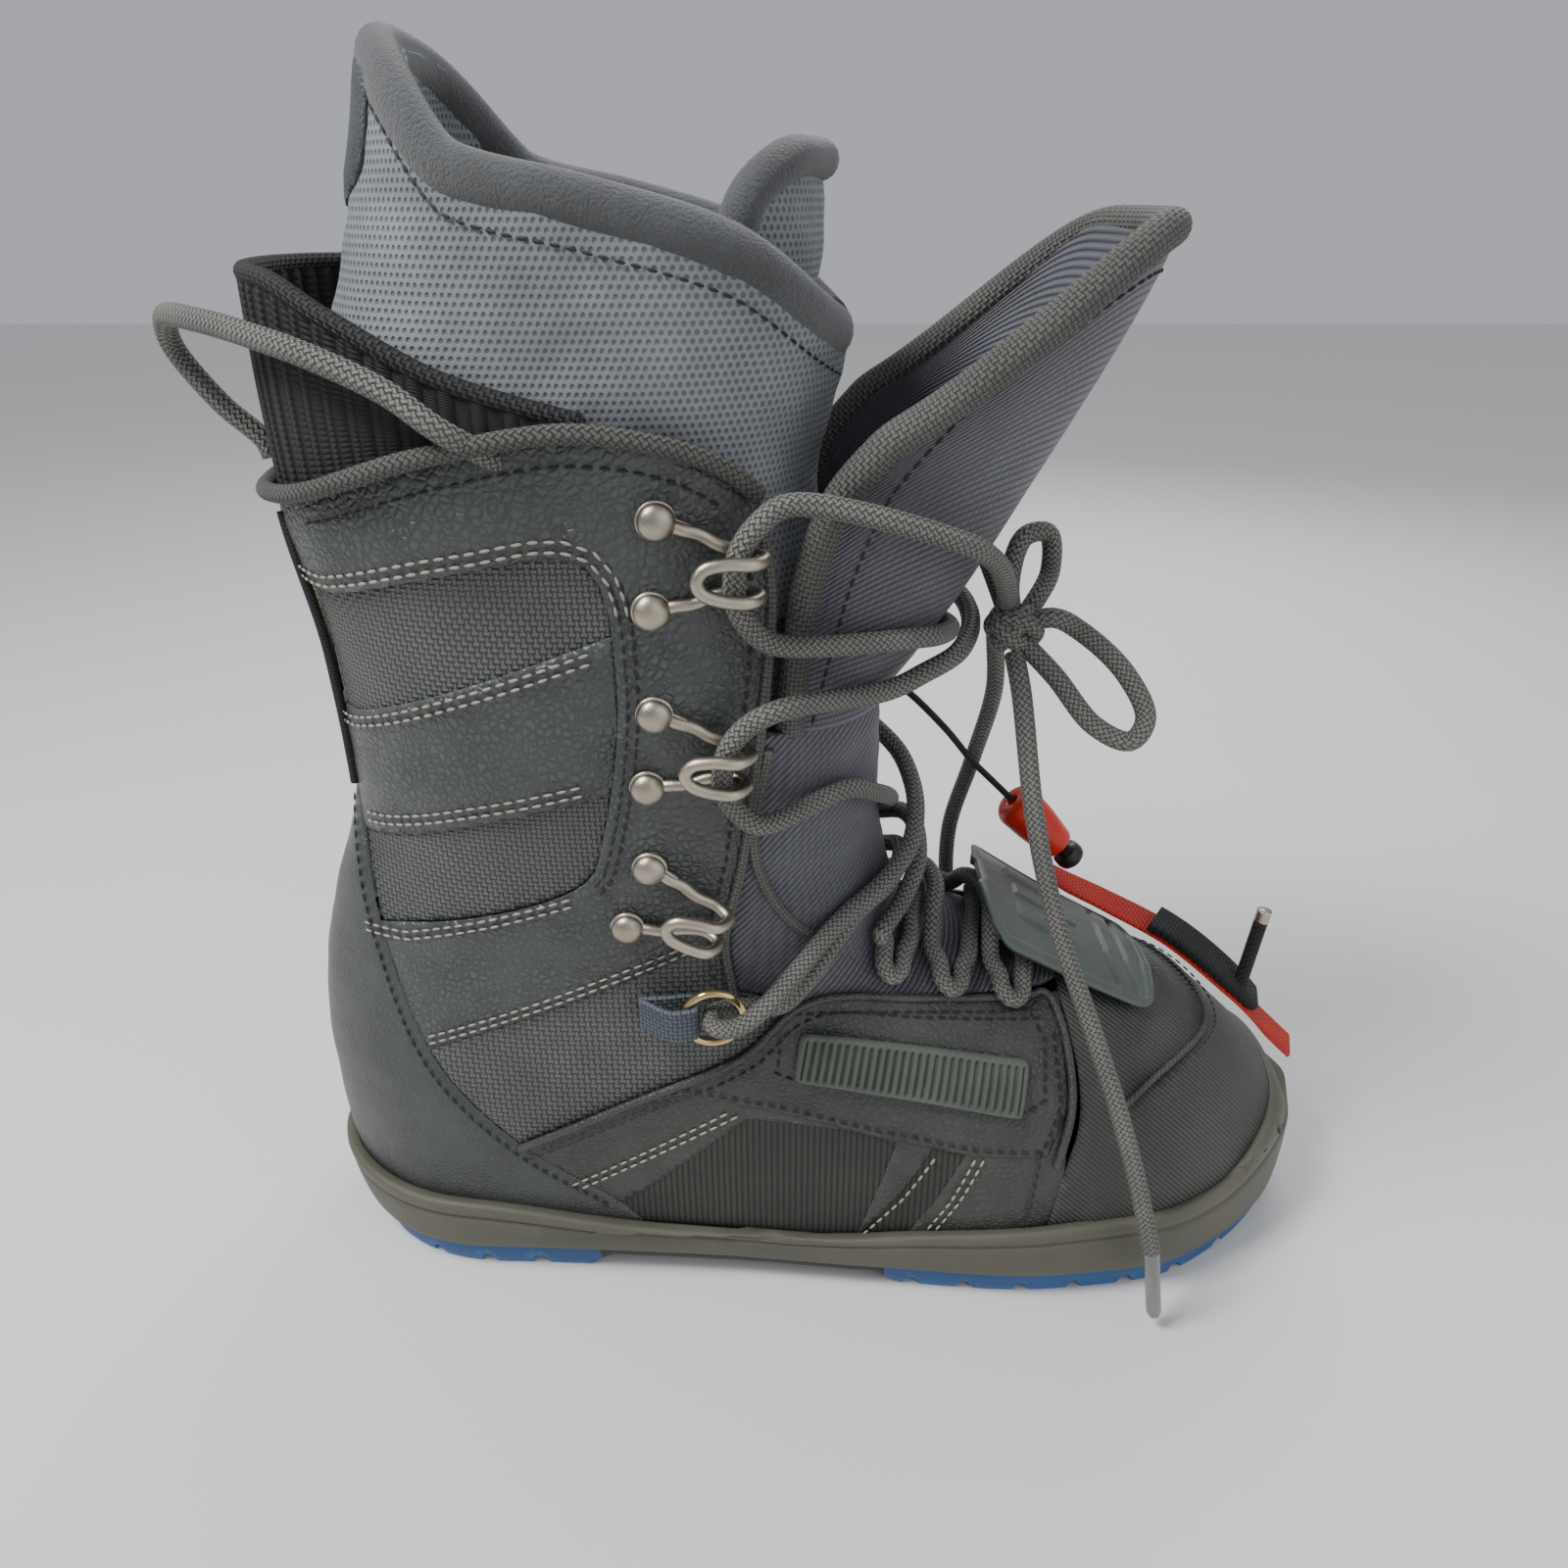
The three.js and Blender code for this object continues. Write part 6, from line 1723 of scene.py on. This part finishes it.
# ---------------------------------------------------------------- laces
@dataclass
class Laces:
    """Round braided laces through the eyelets, rings and hooks to a bow, with its tails."""

    form: Form
    thick: float = 5.3
    eyelets: tuple[float, float, float] = (30, 48, 66)
    eyelet_y: float = 26.0
    knot: tuple[float, float, float] = (60, -12, 205)
    hooks: tuple[tuple[float, float, float], ...] = ((-29, 233, -6), (-32, 187, -8))

    @property
    def low(self) -> float:
        """Height of a strand lying on the tongue."""
        return self.thick / 2 + 1.1

    def on_front(self, y: float, z: float, out: float) -> Vector:
        """Finds a point over the front of the form.

        Args:
            y: Place across it.
            z: Height.
            out: Distance off the form.

        Returns:
            The point.
        """
        offset = y - float(CENTRE_Y(20))
        low, high = -30.0, float(self.form.front_at(np.array([z], float), 0)[0]) - 0.2
        for _ in range(24):
            x = (low + high) / 2
            low, high = (x, high) if float(self.form.half_width(x, z)) > abs(offset) else (low, x)
        return Vector((low, y, z)) + Vector(self.form.outward(low, z, math.copysign(1, offset))) * out

    def on_top(self, x: float, y: float, out: float) -> Vector:
        """Finds a point over the top of the form.

        Args:
            x: Place along the boot.
            y: Place across it.
            out: Distance off the form.

        Returns:
            The point.
        """
        z = float(self.form.height_at(x, y))
        side = math.copysign(1, y - float(CENTRE_Y(x)))
        return Vector((x, y, z)) + Vector(self.form.outward(x, z, side)) * out

    def on_flap(self, turn: float, z: float, out: float) -> Vector:
        """Finds a point round the tongue's free top.

        Args:
            turn: Degrees round from the front.
            z: Height.
            out: Distance off the flap.

        Returns:
            The point.
        """
        return Tongue(self.form).wrap(z, math.radians(turn), -out - 0.5)

    def on_ankle(self, y: float, t: float, out: float) -> Vector:
        """Returns a point over the bend of the tongue."""
        away = Vector((0.62, y / 70, 0.76)).normalized()
        return self.on_front(y, 108 + 12 * math.sin(t * math.pi) + 14 * t, 0) + away * (out + 1.5)

    def eyelet(self, x: float, hand: int) -> list[Vector]:
        """Returns the turn of the lace at an eyelet."""
        y = float(CENTRE_Y(x)) + hand * self.eyelet_y
        return [self.on_top(x + 3.6, y - hand * 4, self.low), self.on_top(x + 2.6, y, self.low),
                self.on_top(x, y + hand * 1.6, self.low),
                self.on_top(x - 2.6, y, self.low), self.on_top(x - 3.6, y - hand * 4, self.low)]

    def across(self, place: Callable[[float, float, float], Vector], start: Sequence[float],
               end: Sequence[float], raised: bool,
               steps: int = 7) -> list[Vector]:
        """Lays a strand across the tongue.

        Args:
            place: Finds a point from two coordinates and a distance off the surface.
            start: Its first two coordinates.
            end: Its last two.
            raised: True where it bows out over the strand that it crosses.
            steps: Number of stretches.

        Returns:
            The strand's points.
        """
        points = []
        for k in range(1, steps):
            t = k / steps
            bell = max(0.0, 1 - abs(2 * t - 1) / 0.62) ** 0.6
            out = self.low + ((self.thick + 2.0) * min(1.0, bell * 1.35) if raised else 0.0)
            points.append(place(start[0] + (end[0] - start[0]) * t, start[1] + (end[1] - start[1]) * t, out))
        return points

    def over_top(self, x0: float, x1: float, hand: int, raised: bool) -> list[Vector]:
        """Returns a strand across the instep."""
        return self.across(lambda x, y, out: self.on_top(x, float(CENTRE_Y(x)) + y, out),
                           (x0, hand * self.eyelet_y), (x1, -hand * self.eyelet_y), raised)

    def half(self, hand: int, over: bool) -> np.ndarray:
        """Lays one half of the lace, from its lowest eyelet to the knot.

        Args:
            hand: Side it starts from.
            over: True where its first strand lies on top.

        Returns:
            The path's points.
        """
        other = -hand
        e1, e2, e3 = self.eyelets
        sides = {1: Hand.MEDIAL, -1: Hand.LATERAL}
        ring = Mount(self.form, -20, 105, sides[other])
        hooks = [Mount(self.form, x, z, sides[h], tilt) for (x, z, tilt), h in zip(self.hooks, (other, hand))]
        turn = [(28, -16, 5.5), (21.4, -11.5, 6.4), (18, -6, 6.85), (17.2, 0, 6.85), (18, 6, 6.85),
                (21.4, 11.5, 6.4), (28, 16, 5.5)]
        through = [(20, 1, 3.6), (12, 0, 3.2), (5, 0, 3.1), (0.4, 0, 4.6), (-0.6, 0, 8), (0.6, 0, 11.4),
                   (5.5, 1.5, 13.8), (13, 7, 13.6)]
        points = [
            self.on_top(e3 + 6, float(CENTRE_Y(e3)) + hand * 3.2, self.low),
            self.on_top(e3 + 5, float(CENTRE_Y(e3)) + hand * 14, self.low),
            *self.eyelet(e3, hand), *self.over_top(e3 - 4, e2 + 4, hand, over),
            *self.eyelet(e2, other), *self.over_top(e2 - 4, e1 + 4, other, not over), *self.eyelet(e1, hand),
            *self.across(self.on_ankle, (hand * 31, 0), (other * 34, 1), over, 9), *ring.points(through),
            *self.across(self.on_front, (other * 37, 122), (hand * 37, 174), not over, 9),
            *hooks[1].points(turn),
            *self.across(self.on_flap, (hand * 62, 194), (other * 62, 212), over, 9), *hooks[0].points(turn),
            self.on_flap(other * 58, 236, 8), self.on_flap(other * 40, 228, 8),
            self.on_flap(other * 20, 216, 11),
        ]
        last = self.on_flap(other * 14, 213, 12)
        knot = Vector(self.knot)
        points.append(knot + (last - knot).normalized() * 8.0)
        return spline([tuple(p) for p in points], 1.3)

    def build(self) -> None:
        """Makes the laces, the bow, the tails and the loop at the back."""
        bow = self.bow()
        for name, hand, over in (("a", -1, True), ("b", 1, False)):
            path = self.half(hand, over)
            self.cord(f"lace_strand_{name}", path, LACE, f"lace_{name}", "knot", (bow,), "taut")
        knot = Vector(self.knot)
        tails = {
            Hand.LATERAL: ([knot + Vector((0, -0.55, -0.8)).normalized() * 7, (61, -24, 192), (66, -33, 160),
                            (74, -39, 130), (84, -45, 104), (93, -53, 80), (101, -59, 55), (107, -63, 32.6)],
                            ((107.1, -63.1, 32.8), (111.5, -64, 6))),
            Hand.MEDIAL: ([knot + Vector((-0.2, 0.9, -0.35)).normalized() * 7, (60, 12, 196), (64, 26, 172),
                           (62, 42, 140), (58, 53, 108), (60, 59, 78),
                           (64, 60, 58.6)], ((64.1, 60.1, 58.8), (67, 61, 33))),
        }
        for hand, (points, (start, end)) in tails.items():
            middle = resample(np.array([start, end], float), 1.0)
            tip = tube(middle, lambda t: (2.3 - 0.075 * math.sin(t * 3.1) - 10 * max(0, t - 0.93),) * 2, 18)
            aglet = Piece(f"aglet_tip_{hand.word}", AGLET, replaces=(f"aglet_{hand.word}",)).make(tip)
            self.cord(f"lace_end_{hand.word}", spline([tuple(p) for p in points], 1.3), LACE,
                      f"lace_tail_{hand.word}", "fitting", (aglet,), "hanging")
        beside = [Mount(self.form, x, 241, Hand.LATERAL).on_side(x, 241, self.thick / 2 + 2.2)
                  for x in (-70, -80, -95, -110)]
        start = [(p.x, p.y, z) for p, z in zip(beside, (263, 270, 276, 279))]
        root = Mount(self.form, -58, 241, Hand.LATERAL).on_side(-58, 241, -3.0)
        loop = [(root.x, root.y, 254), *start, (-130, -24, 281), (-144, -9, 280), (-148, 0, 272),
                (-141, 3, 259), (-131.5, 2, 250), (-130.2, 1.5, 246.2)]
        self.cord("pull_loop_braid", spline(loop, 1.3), LACE, "rear_pull_loop", "object", (), "loose")

    def cord(self, name: str, path: np.ndarray, finish: Finish, node: str, end: str,
             pieces: tuple[bpy.types.Object, ...], lay: str,
             thick: float | None = None) -> None:
        """Makes one cord.

        Args:
            name: Name of the piece.
            path: Points along its middle.
            finish: Its finish.
            node: CAD node it stands for.
            end: What its far end is in; not used.
            pieces: Pieces on it; not used.
            lay: How it lies; not used.
            thick: Diameter, if not the lace's.
        """
        thick = thick or self.thick
        made = Piece(name, finish, replaces=(node,)).make(tube(path, thick / 2, 16))
        row_point(path[0])
        [row_point(p) for p in path]

    def bow(self) -> bpy.types.Object:
        """Makes the knot with its two loops.

        Returns:
            The object.
        """
        knot = Vector(self.knot)
        loops = [
            [(0, 0, 0), (9, -3, 4), (17, -2, 0), (28, -8, -9), (33, -15, -19), (29, -18, -24), (20, -15, -21),
             (10, -8, -10), (0, -1, -1)],
            [(0, 0, 0), (6, 5, 6), (11, 13, 12), (10, 15, 21), (3, 12, 21), (-1, 6, 11), (0, 0, 0)],
        ]
        wraps = [((0.2, 0.9, 0.35), 5.4, 0.0), ((0.75, -0.2, 0.6), 5.2, 1.0), ((-0.5, 0.2, 0.85), 4.6, 2.0)]
        parts = [tube(spline([tuple(knot + Vector(p)) for p in loop], 1.3), self.thick / 2, 16)
                 for loop in loops]
        for axis, radius, shift in wraps:
            turn = Vector((0, 0, 1)).rotation_difference(Vector(axis)).to_matrix()
            ring = [tuple(knot + turn @ Vector((radius * math.cos(t), radius * 0.8 * math.sin(t),
                                                1.6 * math.sin(t + shift))))
                    for t in np.linspace(0, 2 * math.pi, 41)]
            parts.append(tube(np.array(ring), self.thick / 2, 16, ring=True))
        return Piece("lace_knot", LACE, replaces=("lace_bow",)).make(join(parts))


@dataclass
class QuickPull:
    """Thin cord with a sliding cone lock, its button, and the red strap with a black sleeve."""

    laces: Laces
    top: tuple[float, float, float] = (75, 35, 129)
    tip: tuple[float, float, float] = (92, 35, 112)
    strap: tuple[tuple[float, float, float], ...] = ((85.4, 35, 105.4), (94, 34.5, 99), (108, 29, 94),
                                                     (128, 16, 88), (146, 5, 76), (158, 1, 64), (166, -2, 57))

    def build(self) -> None:
        """Makes the lock, cord, strap and sleeve."""
        top, tip = Vector(self.top), Vector(self.tip)
        axis = tip - top
        length = axis.length
        place = Matrix.Translation(top) @ axis.to_track_quat("Z", "Y").to_matrix().to_4x4()
        wall = [(3.3, length), (3.3, 7), (2.1, 7), (2.1, 0.3), (2.5, 0), (5.4, 0), (6.2, 0.5), (7.2, 1.8),
                (7.6, 3.2), (7.5, 6), (7.2, 12), (6.5, 17), (5.7, length - 1), (5.3, length - 0.2),
                (5.0, length), (3.3, length)]
        lock = Piece("lock_cone", RED_PLASTIC, "lock", ("lock_body",)).make(lathe(wall, 40, place))
        end = length + 2.5
        plunger = [(0, 10.5), (3, 10.5), (3, end + 0.6), (4.4, end + 0.8), (4.75, end + 1.5), (4.9, end + 4),
                   (4.5, end + 5.4), (3, end + 6.6), (0, end + 7)]
        Piece("lock_plunger", BLACK_PLASTIC, "lock_button", ("lock_button",)).make(lathe(plunger, 36, place))
        route = [(6, 42, 179), (20, 40, 178), (36, 28, 172), (50, 29, 158), (61, 35, 143), (67, 35, 137),
                 tuple(top - axis.normalized() * 0.3)]
        self.laces.cord("pull_line", spline(route, 1.2), BLACK_BRAID, "pull_cord", "fitting", (lock,),
                        "hanging", 2.2)
        route = spline(self.strap, 1.0)
        Piece("pull_tape", RED_WEBBING, "lock", ("pull_strap",)).make(self.ribbon(route, 6.0, 0.8, 0.0))
        part = route[int(len(route) * 0.42): int(len(route) * 0.8)]
        sleeve = self.ribbon(part, 6.5, 1.7, 2.8)
        foot = Vector(route[int(len(route) * 0.76)]) + Vector((0, 0, 3.8))
        cord_end = tube(resample(np.array([tuple(foot), tuple(foot + Vector((2.6, 0.9, 24)))]), 1.5), 2.2, 14)
        Piece("sleeve_tape", BLACK_WEBBING, "lock", ("strap_sleeve",)).make(join([sleeve, cord_end]))
        cap = tube(resample(np.array([tuple(foot + Vector((2.6, 0.9, 24))),
                                      tuple(foot + Vector((3, 1, 28)))]), 0.6), 2.3, 14)
        Piece("cord_end_cap", NICKEL, "lock").make(cap)

    def ribbon(self, path: np.ndarray, wide: float, thick: float, lift: float) -> bmesh.types.BMesh:
        """Sweeps a flat section along a path.

        Args:
            path: Evenly spaced points.
            wide: Half the width.
            thick: Half the thickness.
            lift: Height of the middle above the path.

        Returns:
            Closed mesh.
        """
        along = np.gradient(path, axis=0)
        along /= np.linalg.norm(along, axis=1)[:, None]
        level = np.stack([-along[:, 1], along[:, 0], np.zeros(len(path))], axis=1)
        level /= np.linalg.norm(level, axis=1)[:, None]
        up = np.cross(along, level)
        turn = np.linspace(0, 2 * math.pi, 33)
        a = wide * np.sign(np.cos(turn)) * np.abs(np.cos(turn)) ** 0.35
        b = thick * np.sign(np.sin(turn)) * np.abs(np.sin(turn)) ** 0.5
        rows = path[:, None] + a[:, None] * level[:, None] + (b + lift)[:, None] * up[:, None]
        mesh = sheet_of(rows, np.arange(len(path)) * 1.0, a, closed=True)
        bmesh.ops.holes_fill(mesh, edges=[e for e in mesh.edges if e.is_boundary], sides=0)
        bmesh.ops.recalc_face_normals(mesh, faces=mesh.faces)
        return mesh


# ---------------------------------------------------------------- scene
@dataclass
class Studio:
    """Pale floor, soft lights and the camera."""

    eye: tuple[float, float, float] = (-0.0122, -0.292, 0.305)
    pitch: float = 27.5
    lens: float = 25.9

    def build(self) -> None:
        """Sets the scene round the boot."""
        mesh = bmesh.new()
        bmesh.ops.create_grid(mesh, x_segments=4, y_segments=4, size=3.0)
        data = bpy.data.meshes.new("floor")
        mesh.to_mesh(data)
        mesh.free()
        floor = bpy.data.objects.new("floor", data)
        bpy.context.scene.collection.objects.link(floor)
        paper = bpy.data.materials.new("paper")
        paper.use_nodes = True
        shader = paper.node_tree.nodes["Principled BSDF"]
        shader.inputs["Base Color"].default_value = (0.8, 0.79, 0.77, 1)
        shader.inputs["Roughness"].default_value = 0.9
        data.materials.append(paper)
        self.light("key", (-0.5, -0.25, 0.95), 10.0, 0.3)
        self.light("fill", (0.6, -0.6, 0.5), 2.5, 0.9)
        self.light("back", (0.3, 0.8, 0.7), 4.0, 0.6)
        world = bpy.data.worlds.new("sky")
        world.use_nodes = True
        world.node_tree.nodes["Background"].inputs["Color"].default_value = (0.9, 0.93, 1.0, 1)
        world.node_tree.nodes["Background"].inputs["Strength"].default_value = 0.5
        bpy.context.scene.world = world
        camera = bpy.data.objects.new("camera", bpy.data.cameras.new("camera"))
        bpy.context.scene.collection.objects.link(camera)
        camera.data.lens = self.lens
        camera.data.sensor_width = 36
        camera.data.clip_start = 0.01
        camera.location = self.eye
        camera.rotation_euler = (math.radians(90 - self.pitch), 0, 0)
        bpy.context.scene.camera = camera

    def light(self, name: str, place: Sequence[float], power: float, size: float) -> None:
        """Adds a soft light that faces the boot.

        Args:
            name: Name of the light.
            place: Where it stands, in metres.
            power: Watts.
            size: Width in metres.
        """
        lamp = bpy.data.objects.new(name, bpy.data.lights.new(name, "AREA"))
        bpy.context.scene.collection.objects.link(lamp)
        lamp.data.energy = power
        lamp.data.size = size
        lamp.location = place
        lamp.rotation_euler = (Vector((0, 0, 0.15)) - Vector(place)).to_track_quat("-Z", "Y").to_euler()


def main() -> None:
    """Builds the boot and its studio."""
    logging.basicConfig(level=logging.INFO, format="%(message)s")
    form = Form()
    laces = Laces(form)
    for assembly in (Sole(form), Upper(form), Tongue(form), Liner(form), Collar(form), Hardware(form),
                     Rubber(form), laces, QuickPull(laces), Studio()):
        LOG.info("building %s", type(assembly).__name__)
        assembly.build()
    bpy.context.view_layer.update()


if __name__ == "__main__":
    main()
